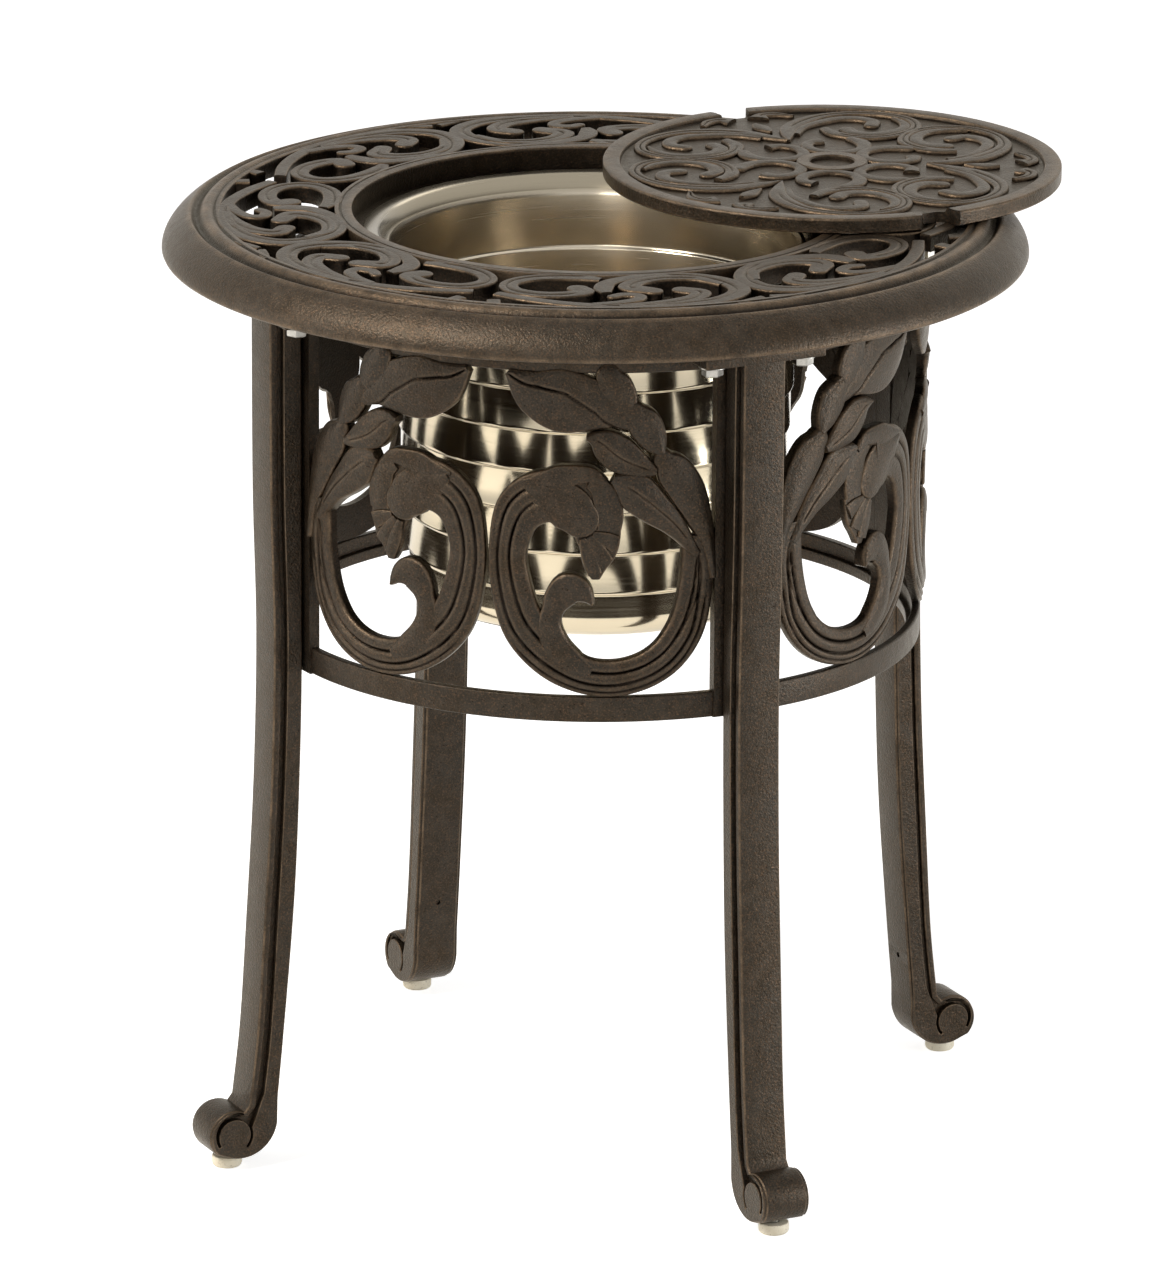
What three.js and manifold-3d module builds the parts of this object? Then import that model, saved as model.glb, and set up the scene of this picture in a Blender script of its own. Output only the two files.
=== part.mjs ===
import * as THREE from 'three';
import { mergeVertices } from 'three/addons/utils/BufferGeometryUtils.js';
import Module from 'manifold-3d';

// Round patio coffee table in cast metal with a stainless ice bucket in its middle.
// Lengths are millimetres, +Z is up, the floor is z = 0 and the table's axis is x = y = 0.
// The front faces -Y. Legs stand on the diagonals and openwork aprons close the four sides.

// Overall sizes
const TOP_HEIGHT = 657;
const TOP_RADIUS = 299;
const FIT = 0.3;
const OVERRUN = 2;

// Table top: rolled rim, border ring, scroll field, inner strip and collar
const OPENING_RADIUS = 168;
const INNER_STRIP = 12;
const FIELD_INSET = 37;
const FIELD_OVERLAP = 4;
const SCROLL_DEPTH = 12;
const BORDER_WIDTH = 7;
const BEAD_ROUND = 4;
const GROOVE_DEPTH = 4.4;
const GROOVE_WIDTH = 3;
const RIM_REACH = 19;
const RIM_CROWN_DROP = 2.8;
const RIM_SLOPE_DROP = 7;
const RIM_SLOPE_REACH = 8;
const RIM_SHOULDER_DROP = 17;
const RIM_WIDEST_DROP = 27;
const RIM_LIP_DROP = 29;
const RIM_WALL = 6;
const COLLAR_WALL = 6;
const LEDGE_DROP = 16;
const LEDGE_WIDTH = 14;
const LEDGE_THICKNESS = 5;
const BOSS_WIDTH = 96;
const BOSS_OVERHANG = 2.5;

// Lid: a cast disc lying on the table top, off to the rear right
const LID_CLEARANCE = 8;
const LID_THICKNESS = 10.7;
const LID_BORDER = 12;
const LID_RELIEF = 3.2;
const LID_ROOT = 1.5;
const LID_X = 127.7;
const LID_Y = 138.3;
const LID_NOTCH_WIDTH = 24;
const LID_NOTCH_DEPTH = 16;
const LID_NOTCH_FLARE = 5;

// Ice bucket: spun sheet metal, hung by its flange on the collar's ledge
const BUCKET_DEPTH = 259;
const BUCKET_SHEET = 1.4;
const BUCKET_FLANGE_CLEARANCE = 7.5;
const BUCKET_FLANGE_FLAT = 8;
const BUCKET_FLANGE_FALL = 8.5;
const BUCKET_MOUTH_CLEARANCE = 8;
const BUCKET_MOUTH_STEP = 4;
const BUCKET_TAPER = 14;
const BUCKET_CORNER = 17;
const BUCKET_STEP = 3;
const BUCKET_FIRST_STEP_DROP = 50;

// Apron panels: four quarter castings between the legs
const APRON_INSET = 69;
const APRON_THICKNESS = 8;
const APRON_HEIGHT = 255;
const APRON_TOP_CLEARANCE = 6;
const APRON_BAND = 18;
const APRON_TOP_RAIL = 10;
const APRON_END_BAR = 23;
const APRON_RAIL_SETBACK = 2;
const APRON_SCROLL_SETBACK = 0.6;
const APRON_FLANGE_HEIGHT = 8;
const APRON_FLANGE_DEPTH = 4;

// Legs: moulded bars that curve out to a rolled scroll foot
const LEG_FACE_WIDTH = 31;
const LEG_RIB_WIDTH = 35;
const LEG_TOP_DROP = 39;
const LEG_APRON_GAP = 0.5;
const LEG_OVERHANG = 2.5;
const LEG_FRONT_STRIP = 6.6;
const LEG_REAR_STRIP = 5;
const LEG_FLANGE_WIDTH = 90;
const LEG_FLANGE_THICKNESS = 8;
const LEG_FLANGE_DEPTH = 26;
const FOOT_EYE_HEIGHT = 26.5;
const FOOT_ROLL_RADIUS = 18;
const FOOT_DISC_RADIUS = 12;
const FOOT_GROOVE_WIDTH = 2.6;
const FOOT_HEEL_SETBACK = 24;
const FOOT_HEEL_HEIGHT = 36;
const FOOT_HEEL_RADIUS = 27.5;
const FOOT_EDGE = 1.2;

// Glides: nylon pads on threaded stems
const PAD_RADIUS = 10.5;
const PAD_HEIGHT = 8;
const PAD_EDGE = 2.5;
const PAD_SETBACK = 19.5;
const STEM_RADIUS = 4;
const STEM_LENGTH = 19;
const STEM_SEAT = 3;

// Fasteners: bolts up into the top's bosses, and screws from inside whose broad heads each clamp
// two apron ends against a leg, with the shank in the seam between them
const BOLT_RADIUS = 4;
const BOLT_FROM_LEG_REAR = 12.5;
const BOLT_SPACING = 68;
const BOLT_HEAD_RADIUS = 7.5;
const BOLT_HEAD_HEIGHT = 5.5;
const BOLT_LENGTH = 26;
const WASHER_RADIUS = 9.5;
const WASHER_THICKNESS = 1.4;
const SCREW_RADIUS = 3;
const SCREW_HEAD_RADIUS = 9;
const SCREW_HEAD_HEIGHT = 4;
const SCREW_LENGTH = 18;
const SCREW_FROM_APRON_END = 30;
const HOLE_CLEARANCE = 0.8;

// Counts of the faceted forms
const ROUND_SEGMENTS = 44;
const RIM_SEGMENTS = 4;
const BUCKET_SEGMENTS = 16;
const BUCKET_STEPS = 7;
const RAIL_SEGMENTS = 9;
const RING_SEGMENTS = 12;
const HEX = 6;
const LEG_POINTS = 5;
const ROLL_STEPS = 6;
const HEEL_STEPS = 4;
const GROOVE_STEPS = 1;
const DISC_STEPS = 9;

// A ribbon gets a new section for each such length or each such turn along its way
const FIELD_REACH = 110;
const APRON_REACH = 75;
const LID_REACH = 100;
const fieldTurnDegrees = 48;
const apronTurnDegrees = 36;
const lidTurnDegrees = 52;
const finePoints = 160;

// Places on the scroll field: degrees from the middle of a quarter, 88ths of the field's width
// from its inner edge, and ribbon widths in the same 88ths
const fieldPartShare = 1 / 88;
const smallScrollShares = [
  [19.4, 12, 8], [15, 7, 14], [10, 8, 14], [5.4, 14, 14], [2.6, 26, 13.5], [2.5, 38, 13.5],
  [4.6, 49, 13.5], [8.8, 54.5, 13.5], [13.4, 52, 14], [16.4, 44, 15], [15.2, 36, 16],
];
const bigScrollShares = [
  [2, 60, 9], [8, 69, 10], [15, 77.5, 10], [22, 82, 11], [31, 82, 13], [38, 76, 15], [42.6, 60, 16],
  [43.2, 38, 16], [39.5, 15, 13], [32, 5, 10], [25, 10, 11], [20.7, 22, 13], [19.8, 36, 14],
  [20.2, 47, 8],
];
const middleScrollShares = [
  [41.5, 40, 6], [38.5, 20, 10], [31.5, 13.5, 12], [26.2, 22, 15], [24.8, 34, 17], [28.5, 44.5, 14],
];
const hookScrollShares = [
  [22, 81, 8], [29, 76, 14], [34.4, 66, 15], [36.2, 54, 15], [33.6, 44.5, 14],
];
const curlScrollShares = [
  [18, 78, 8], [22.5, 72, 9], [25.4, 64, 9.5], [25.6, 56, 9.5], [23, 52.5, 9], [21.2, 57, 8],
];
const borderFootShares = [
  [3.4, 86, 9], [2.6, 76, 10],
];
const legLeafShares = [
  [44.4, 80, 6], [42.2, 84, 8], [39.5, 88, 5],
];

// Places on the lid: 160ths of its radius, x to the right and y along the axis through the notches
const lidPartShare = 1 / 160;
const lidRingShare = 20.2;
const lidRingWidthShare = 9.5;
const lidCurlShares = [
  [21, 56, 12], [12.5, 56, 10], [5.6, 48.5, 9.5], [4.2, 38, 9.5], [9, 26.5, 9.5], [20, 20.3, 9.5],
  [33, 22, 10], [42, 31, 11], [45, 42, 12], [43, 52, 9],
];
const lidBigScrollShares = [
  [0.6, 66, 2], [7, 80, 9], [18, 98, 14], [36, 112, 14], [58, 119, 11], [82, 114, 9], [100, 99, 8.5],
  [106, 80, 8.5], [98, 60, 8.5], [80, 49, 8.5], [62, 48, 9], [47, 57, 10], [39, 71, 11], [39, 86, 8],
];
const lidHookShares = [
  [14, 80, 5], [27, 95, 7], [45, 104, 9], [62, 107, 10], [75, 101, 11], [80, 90, 11], [74, 81, 11],
];
const lidInnerHookShares = [
  [97, 92, 3], [98, 78, 7], [92, 65, 9], [78, 57, 10], [63, 58, 11], [53, 67, 12], [53, 78, 12],
];
const lidBorderCurlShares = [
  [10.6, 132, 16], [17, 139, 10], [27, 137, 9], [36, 127, 4],
];
const lidDropShares = [
  [0, 92, 2], [0.5, 100, 9], [0, 108, 12], [0, 117, 5],
];
const notchFloorShare = 0.6;

// Places on half an apron: 180ths of its half width from the middle, 245ths of the scroll field's
// height from the apron's foot, and ribbon widths in the latter
const apronAcrossShare = 1 / 180;
const apronUpShare = 1 / 245;
const apronBandShares = [
  [60, 158, 40], [38, 158, 38], [23, 148, 36], [14.5, 121, 27], [17, 93, 29], [27, 63, 32], [49, 42, 31],
  [88, 30, 27], [123, 44, 27], [139, 68, 27], [145, 98, 24.5], [146, 130, 24],
];
const apronBeakShares = [
  [44, 160, 34], [60, 156, 42], [73, 144, 36], [77, 126, 29], [75, 112, 19], [75, 101, 6],
];
const apronTongueShares = [
  [42, 56, 24], [46, 77, 18], [52, 91, 19], [62, 92, 18],
];
const apronLeafShares = [
  [104, 206, 6], [88, 217, 22], [70, 223, 38], [50, 226, 44], [33, 231, 34], [14, 244, 6],
];
const apronLobeShares = [
  [[150, 110, 10], [148, 143, 18], [139, 163, 26], [127, 180, 26], [119, 189, 10]],
  [[143, 121, 8], [128, 140, 20], [113, 155, 30], [98, 165, 22], [84, 171, 5]],
  [[121, 188, 8], [113, 201, 22], [107, 211, 24], [101, 221, 10]],
  [[117, 182, 8], [100, 188, 17], [88, 192, 24], [76, 196, 17], [64, 201, 4]],
  [[103, 215, 8], [96, 228, 22], [91, 237, 22], [87, 245, 8]],
];

// Places on a leg seen from the side: height as a share of the leg's top, then distance from the
// straight part of its rear as a share of the way to the foot's reach
const legFaceShares = [
  [1, 0.338], [0.78, 0.332], [0.616, 0.3], [0.446, 0.334], [0.281, 0.417], [0.154, 0.493], [0.076, 0.575],
];
const legRearShares = [
  [0.072, 0.276], [0.15, 0.208], [0.325, 0.077], [0.489, 0.016], [0.58, 0], [0.66, 0], [1, 0],
];
const insideRimShare = 0.55;

// Sweeps of the foot's arcs, in degrees
const rollDegrees = [105, -45];
const heelDegrees = [-65, -175];
const grooveDegrees = [160, 200];
const cheekDegrees = [-80, -165];
const discDegrees = [0, 330];
const mergeShare = 1e-6;

const wasm = await Module();
wasm.setup();

// Solids and meshes

function signedVolume(vertices, triangles) {
  const corner = (k) => new THREE.Vector3().fromArray(vertices, 3 * triangles[k]);
  let volume = 0;
  for (let k = 0; k < triangles.length; k += 3) {
    volume += corner(k).dot(corner(k + 1).cross(corner(k + 2)));
  }
  return volume;
}

function solidFrom(geometry) {
  geometry.deleteAttribute('normal');
  geometry.deleteAttribute('uv');
  const merged = mergeVertices(geometry, mergeShare * TOP_RADIUS);
  const vertProperties = new Float32Array(merged.attributes.position.array);
  const triangles = [];
  for (let k = 0; k < merged.index.count; k += 3) {
    const [a, b, c] = merged.index.array.slice(k, k + 3);
    if (a !== b && b !== c && c !== a) triangles.push(a, b, c);
  }
  if (signedVolume(vertProperties, triangles) < 0) triangles.reverse();
  const triVerts = new Uint32Array(triangles);
  return new wasm.Manifold(new wasm.Mesh({ numProp: 3, vertProperties, triVerts }));
}

function geometryFrom(solid) {
  const { numProp, vertProperties, triVerts } = solid.getMesh();
  const positions = [];
  for (let k = 0; k < vertProperties.length; k += numProp) {
    positions.push(...vertProperties.slice(k, k + 3));
  }
  const geometry = new THREE.BufferGeometry();
  geometry.setAttribute('position', new THREE.Float32BufferAttribute(positions, 3));
  geometry.setIndex(new THREE.BufferAttribute(triVerts, 1));
  return geometry;
}

function meshFrom(name, solid, material) {
  const mesh = new THREE.Mesh(geometryFrom(solid), material.clone());
  mesh.name = name;
  return mesh;
}

const joined = (solids) => solids.reduce((whole, solid) => whole.add(solid));

const lessThose = (solid, cuts) => cuts.reduce((rest, cut) => rest.subtract(cut), solid);

const turned = (solid, degrees) => solid.rotate([0, 0, degrees]);

const fourQuarters = (solid) => joined([0, 90, 180, 270].map((degrees) => turned(solid, degrees)));

// Revolved and extruded forms

function revolved(profile, segments) {
  const points = profile.map(([r, z]) => new THREE.Vector2(r, z));
  const geometry = new THREE.LatheGeometry(points, segments);
  geometry.rotateX(Math.PI / 2);
  return solidFrom(geometry);
}

const revolvedRing = (profile, segments) => revolved([...profile, profile[0]], segments);

function extruded(outline, depth) {
  const shape = new THREE.Shape(outline.map(([x, y]) => new THREE.Vector2(x, y)));
  return new THREE.ExtrudeGeometry(shape, { depth, bevelEnabled: false });
}

// A plan outline stood up between two heights
function upright(outline, low, high) {
  const geometry = extruded(outline, high - low);
  geometry.translate(0, 0, low);
  return solidFrom(geometry);
}

function block(x0, x1, y0, y1, z0, z1) {
  return upright([[x0, y0], [x1, y0], [x1, y1], [x0, y1]], z0, z1);
}

// A side view outline, in distance from the axis and height, given a width across the radial plane
function sideways(outline, width) {
  const geometry = extruded(outline, width);
  geometry.translate(0, 0, -width / 2);
  geometry.rotateX(Math.PI / 2);
  return solidFrom(geometry);
}

function rod(radius, sides, from, to) {
  const along = new THREE.Vector3().subVectors(to, from);
  const geometry = new THREE.CylinderGeometry(radius, radius, along.length(), sides);
  const way = along.clone().normalize();
  geometry.applyQuaternion(new THREE.Quaternion().setFromUnitVectors(new THREE.Vector3(0, 1, 0), way));
  geometry.translate(...from.clone().addScaledVector(along, 0.5));
  return solidFrom(geometry);
}

function arcPoints(x, y, radius, fromDegrees, toDegrees, steps) {
  return Array.from({ length: steps + 1 }, (_, k) => {
    const angle = THREE.MathUtils.degToRad(fromDegrees + ((toDegrees - fromDegrees) * k) / steps);
    return [x + radius * Math.cos(angle), y + radius * Math.sin(angle)];
  });
}

// A closed skin over rings of corners that match one to one, with an end face like the outline
function lofted(rings, outline) {
  const corners = outline.length;
  const faces = [];
  for (let k = 1; k < rings.length; k += 1) {
    const ahead = k * corners;
    const behind = ahead - corners;
    for (let side = 0; side < corners; side += 1) {
      const next = (side + 1) % corners;
      faces.push(behind + side, behind + next, ahead + next);
      faces.push(behind + side, ahead + next, ahead + side);
    }
  }
  const last = (rings.length - 1) * corners;
  const endFaces = THREE.ShapeUtils.triangulateShape(outline.map(([x, y]) => new THREE.Vector2(x, y)), []);
  for (const [a, b, c] of endFaces) {
    faces.push(c, b, a);
    faces.push(last + a, last + b, last + c);
  }
  const geometry = new THREE.BufferGeometry();
  geometry.setAttribute('position', new THREE.Float32BufferAttribute(rings.flat(2), 3));
  geometry.setIndex(faces);
  return solidFrom(geometry);
}

// Ribbons: bands of changing width along a curve on a flat drawing

const ribbonOutline = [[-1, -1], [1, -1], [1, 1], [-1, 1]];
const roundEndAngle = Math.PI * 0.3;

// Shares of a line at which its sections stand, closer together where it turns more
function sectionShares(line, reach, turnDegrees) {
  const turnPerSection = THREE.MathUtils.degToRad(turnDegrees);
  const headings = Array.from({ length: finePoints + 1 }, (_, k) => {
    const way = line.getTangentAt(k / finePoints);
    return new THREE.Vector2(way.x, way.y);
  });
  const perPoint = line.getLength() / reach / finePoints;
  const passed = [0];
  for (let k = 1; k <= finePoints; k += 1) {
    const turn = headings[k].angleTo(headings[k - 1]);
    passed.push(passed[k - 1] + perPoint + turn / turnPerSection);
  }
  const count = Math.max(2, Math.round(passed[finePoints]));
  return Array.from({ length: count + 1 }, (_, k) => {
    const wanted = (passed[finePoints] * k) / count;
    const behind = passed.filter((value) => value < wanted).length;
    return Math.min(behind, finePoints) / finePoints;
  });
}

function ribbon(path, [reach, turnDegrees], [low, high], hasRoundEnd) {
  const line = new THREE.CatmullRomCurve3(path.map((p) => new THREE.Vector3(...p)), false, 'centripetal');
  const sections = sectionShares(line, reach, turnDegrees).map((share) => {
    const at = line.getPointAt(share);
    const way = line.getTangentAt(share);
    const heading = new THREE.Vector2(way.x, way.y).normalize();
    return { middle: new THREE.Vector2(at.x, at.y), half: at.z / 2, heading };
  });
  if (hasRoundEnd) {
    const { middle, half, heading } = sections[sections.length - 1];
    const ahead = middle.clone().addScaledVector(heading, half * Math.sin(roundEndAngle));
    sections.push({ middle: ahead, half: half * Math.cos(roundEndAngle), heading });
  }
  const rings = sections.map(({ middle, half, heading }) => ribbonOutline.map(([side, level]) => {
    const corner = middle.clone().add(new THREE.Vector2(heading.y, -heading.x).multiplyScalar(side * half));
    return [corner.x, corner.y, level > 0 ? high : low];
  }));
  return lofted(rings, ribbonOutline);
}

const bothSides = (path) => [1, -1].map((side) => path.map(([x, ...rest]) => [side * x, ...rest]));

// Materials

function finish(color, roughness, metalness) {
  return new THREE.MeshStandardMaterial({ color, roughness, metalness });
}

const bronzeCoat = finish(0x4a4138, 0.55, 0.5);
const stainless = finish(0xb8b4ac, 0.25, 1);
const nylon = finish(0xd9c8a4, 0.5, 0);
const zincSteel = finish(0x8d8a84, 0.4, 1);

// Heights and places that several pieces share

const scrollBottom = TOP_HEIGHT - SCROLL_DEPTH;
const fieldOuter = TOP_RADIUS - FIELD_INSET;
const ledgeTop = TOP_HEIGHT - LEDGE_DROP;
const ledgeInner = OPENING_RADIUS - LEDGE_WIDTH;
const legTop = TOP_HEIGHT - LEG_TOP_DROP;
const legFlangeBottom = legTop - LEG_FLANGE_THICKNESS;
const washerTop = legFlangeBottom - FIT;
const boltHeadTop = washerTop - WASHER_THICKNESS - FIT;
const boltTip = boltHeadTop + BOLT_LENGTH;
const boltPlaces = [-BOLT_SPACING / 2, BOLT_SPACING / 2];
const apronTop = legTop - APRON_TOP_CLEARANCE;
const apronBottom = apronTop - APRON_HEIGHT;
const apronRadius = TOP_RADIUS - APRON_INSET;
const apronInner = apronRadius - APRON_THICKNESS;
const legRear = apronRadius + LEG_APRON_GAP;
const legReach = TOP_RADIUS + LEG_OVERHANG;
const boltAtRadius = legRear + BOLT_FROM_LEG_REAR;
const padAtRadius = legReach - PAD_SETBACK;
const endBarSag = apronInner - Math.sqrt(apronInner ** 2 - APRON_END_BAR ** 2);
const screwSeat = apronInner - (endBarSag * SCREW_HEAD_RADIUS) / APRON_END_BAR - FIT;
const screwTip = screwSeat + SCREW_LENGTH;
const screwHeights = [apronBottom + SCREW_FROM_APRON_END, apronTop - SCREW_FROM_APRON_END];
const stemBottom = PAD_HEIGHT - STEM_SEAT;
const stemTop = stemBottom + STEM_LENGTH;

// Each hole is drawn on a leg that points along +X
function boltHoles(bottom, top) {
  return boltPlaces.map((across) => rod(
    BOLT_RADIUS + HOLE_CLEARANCE,
    HEX,
    new THREE.Vector3(boltAtRadius, across, bottom),
    new THREE.Vector3(boltAtRadius, across, top),
  ));
}

function screwHoles(from, to) {
  return screwHeights.map((z) => rod(
    SCREW_RADIUS + HOLE_CLEARANCE,
    HEX,
    new THREE.Vector3(from, 0, z),
    new THREE.Vector3(to, 0, z),
  ));
}

// Table top

const fieldInner = OPENING_RADIUS + INNER_STRIP - FIELD_OVERLAP;
const fieldUnit = (fieldOuter - fieldInner) * fieldPartShare;

function outerRing() {
  const borderOuter = fieldOuter + BORDER_WIDTH;
  const rimCrown = TOP_RADIUS - RIM_REACH;
  const rim = new THREE.CubicBezierCurve(
    new THREE.Vector2(rimCrown, TOP_HEIGHT - RIM_CROWN_DROP),
    new THREE.Vector2(rimCrown + RIM_SLOPE_REACH, TOP_HEIGHT - RIM_SLOPE_DROP),
    new THREE.Vector2(TOP_RADIUS, TOP_HEIGHT - RIM_SHOULDER_DROP),
    new THREE.Vector2(TOP_RADIUS, TOP_HEIGHT - RIM_WIDEST_DROP),
  );
  const shoulder = rim.getPoint(insideRimShare);
  const slope = rim.getTangent(insideRimShare);
  return revolvedRing([
    [fieldOuter - FIELD_OVERLAP, scrollBottom],
    [fieldOuter - FIELD_OVERLAP, TOP_HEIGHT],
    [borderOuter, TOP_HEIGHT],
    [borderOuter + BEAD_ROUND, TOP_HEIGHT - BEAD_ROUND / 2],
    [rimCrown - GROOVE_WIDTH, TOP_HEIGHT - GROOVE_DEPTH],
    ...rim.getPoints(RIM_SEGMENTS).map((p) => [p.x, p.y]),
    [TOP_RADIUS - RIM_WALL / 2, TOP_HEIGHT - RIM_LIP_DROP],
    [TOP_RADIUS - RIM_WALL, TOP_HEIGHT - RIM_WIDEST_DROP],
    [shoulder.x + slope.y * RIM_WALL, shoulder.y - slope.x * RIM_WALL],
    [borderOuter, scrollBottom],
  ], ROUND_SEGMENTS);
}

function innerRing() {
  const ledgeBottom = ledgeTop - LEDGE_THICKNESS;
  return revolvedRing([
    [OPENING_RADIUS, TOP_HEIGHT],
    [OPENING_RADIUS + INNER_STRIP, TOP_HEIGHT],
    [OPENING_RADIUS + INNER_STRIP, scrollBottom],
    [OPENING_RADIUS + COLLAR_WALL, ledgeBottom],
    [ledgeInner, ledgeBottom],
    [ledgeInner, ledgeTop],
    [OPENING_RADIUS, ledgeTop],
  ], ROUND_SEGMENTS);
}

function fieldRibbons(shares, hasRoundEnd) {
  const path = shares.map(([degrees, across, width]) => {
    const r = fieldInner + across * fieldUnit;
    const angle = THREE.MathUtils.degToRad(degrees - 90);
    return [r * Math.cos(angle), r * Math.sin(angle), width * fieldUnit];
  });
  const spacing = [FIELD_REACH, fieldTurnDegrees];
  return bothSides(path).map((side) => ribbon(side, spacing, [scrollBottom, TOP_HEIGHT], hasRoundEnd));
}

function scrollQuarter() {
  return joined([
    ...fieldRibbons(bigScrollShares, false),
    ...fieldRibbons(smallScrollShares, true),
    ...fieldRibbons(middleScrollShares, true),
    ...fieldRibbons(hookScrollShares, true),
    ...fieldRibbons(curlScrollShares, true),
    ...fieldRibbons(borderFootShares, false),
    ...fieldRibbons(legLeafShares, false),
  ]);
}

// A leg is bolted up against each boss
function legBoss() {
  const bossBottom = legTop + FIT;
  const half = BOSS_WIDTH / 2;
  const boss = block(legRear - BOSS_OVERHANG, fieldOuter, -half, half, bossBottom, scrollBottom + OVERRUN);
  return turned(lessThose(boss, boltHoles(bossBottom - OVERRUN, boltTip + OVERRUN)), 45);
}

function tableTop() {
  return joined([outerRing(), innerRing(), fourQuarters(scrollQuarter()), fourQuarters(legBoss())]);
}

// Lid, built round its own middle with its notches on the y axis

const lidRadius = OPENING_RADIUS - LID_CLEARANCE;
const lidUnit = lidRadius * lidPartShare;
const lidField = LID_THICKNESS - LID_RELIEF;

function lidRibbons(shares, hasRoundEnd) {
  const path = shares.map((numbers) => numbers.map((share) => share * lidUnit));
  const spacing = [LID_REACH, lidTurnDegrees];
  const levels = [lidField - LID_ROOT, LID_THICKNESS];
  return bothSides(path).map((side) => ribbon(side, spacing, levels, hasRoundEnd));
}

function lidThird() {
  return joined([
    ...lidRibbons(lidBigScrollShares, false),
    ...lidRibbons(lidCurlShares, false),
    ...lidRibbons(lidHookShares, true),
    ...lidRibbons(lidInnerHookShares, true),
    ...lidRibbons(lidBorderCurlShares, false),
    lidRibbons(lidDropShares, false)[0],
  ]);
}

function lidNotch() {
  const half = LID_NOTCH_WIDTH / 2;
  const inner = lidRadius - LID_NOTCH_DEPTH;
  const outer = lidRadius + OVERRUN;
  const rightHalf = [
    [half * notchFloorShare, inner],
    [half, inner + LID_NOTCH_FLARE],
    [half, lidRadius - LID_NOTCH_FLARE],
    [half + LID_NOTCH_FLARE, outer],
  ];
  const leftHalf = rightHalf.map(([x, y]) => [-x, y]).reverse();
  return upright([...rightHalf, ...leftHalf], -OVERRUN, LID_THICKNESS + OVERRUN);
}

function lid() {
  const plate = revolved([
    [0, 0],
    [lidRadius, 0],
    [lidRadius, LID_THICKNESS],
    [lidRadius - LID_BORDER, LID_THICKNESS],
    [lidRadius - LID_BORDER - LID_ROOT, lidField],
    [0, lidField],
  ], ROUND_SEGMENTS);
  const ringMiddle = lidRingShare * lidUnit;
  const ringHalf = (lidRingWidthShare * lidUnit) / 2;
  const centreRing = revolvedRing([
    [ringMiddle - ringHalf, lidField - LID_ROOT],
    [ringMiddle + ringHalf, lidField - LID_ROOT],
    [ringMiddle + ringHalf, LID_THICKNESS],
    [ringMiddle - ringHalf, LID_THICKNESS],
  ], RING_SEGMENTS);
  const third = lidThird();
  const thirds = [0, 120, 240].map((degrees) => turned(third, degrees));
  const notches = [lidNotch(), turned(lidNotch(), 180)];
  return lessThose(joined([plate, centreRing, ...thirds]), notches);
}

// Ice bucket

function iceBucket() {
  const flangeRadius = OPENING_RADIUS - BUCKET_FLANGE_CLEARANCE;
  const mouthRadius = ledgeInner - BUCKET_MOUTH_CLEARANCE;
  const wallRadius = mouthRadius - BUCKET_MOUTH_STEP;
  const baseRadius = wallRadius - BUCKET_TAPER;
  const flangeBottom = ledgeTop + FIT;
  const top = flangeBottom + BUCKET_SHEET;
  const bottom = top - BUCKET_DEPTH;
  const firstStep = top - BUCKET_FIRST_STEP_DROP;
  const cornerZ = bottom + BUCKET_CORNER;
  const cornerR = baseRadius - BUCKET_CORNER;
  const stepPitch = (firstStep - cornerZ - BUCKET_CORNER) / (BUCKET_STEPS - 1);
  const stepIn = BUCKET_TAPER / BUCKET_STEPS;
  const steppedWall = [];
  for (let k = BUCKET_STEPS - 1; k >= 0; k -= 1) {
    const z = firstStep - k * stepPitch;
    const r = wallRadius - k * stepIn;
    steppedWall.push([r - stepIn, z - BUCKET_STEP / 2], [r, z + BUCKET_STEP / 2]);
  }
  const flangeInner = flangeRadius - BUCKET_FLANGE_FLAT;
  const mouthZ = flangeBottom - BUCKET_FLANGE_FALL;
  const insideRadius = wallRadius - BUCKET_SHEET;
  return revolved([
    [0, bottom],
    ...arcPoints(cornerR, cornerZ, BUCKET_CORNER, -90, 0, 4),
    ...steppedWall,
    [wallRadius, mouthZ - BUCKET_STEP],
    [mouthRadius, mouthZ],
    [flangeInner, flangeBottom],
    [flangeRadius, flangeBottom],
    [flangeRadius, top],
    [flangeInner - BUCKET_SHEET, top],
    [mouthRadius - BUCKET_SHEET, mouthZ],
    [insideRadius, mouthZ - BUCKET_STEP],
    [insideRadius - stepIn, firstStep],
    ...arcPoints(cornerR, cornerZ, BUCKET_CORNER - BUCKET_SHEET - stepIn, 0, -90, 3),
    [0, bottom + BUCKET_SHEET + stepIn],
  ], BUCKET_SEGMENTS);
}

// Apron panels, each drawn flat and bent round the table to face -Y

const apronHalfWidth = (apronRadius * Math.PI) / 4 - FIT / 2;

// On the drawing x is the arc length round the panel, y the height and z the depth outwards
function bentApron(drawn) {
  const geometry = geometryFrom(drawn);
  const positions = geometry.attributes.position;
  for (let k = 0; k < positions.count; k += 1) {
    const angle = positions.getX(k) / apronRadius - Math.PI / 2;
    const r = apronInner + positions.getZ(k);
    positions.setXYZ(k, r * Math.cos(angle), r * Math.sin(angle), apronBottom + positions.getY(k));
  }
  return solidFrom(geometry);
}

function apronRibbons(shares, hasRoundEnd) {
  const across = apronHalfWidth * apronAcrossShare;
  const up = (APRON_HEIGHT - APRON_TOP_RAIL) * apronUpShare;
  const path = shares.map(([x, y, width]) => [x * across, y * up, width * up]);
  const spacing = [APRON_REACH, apronTurnDegrees];
  const levels = [APRON_SCROLL_SETBACK, APRON_THICKNESS - APRON_SCROLL_SETBACK];
  return bothSides(path).map((side) => ribbon(side, spacing, levels, hasRoundEnd));
}

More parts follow.
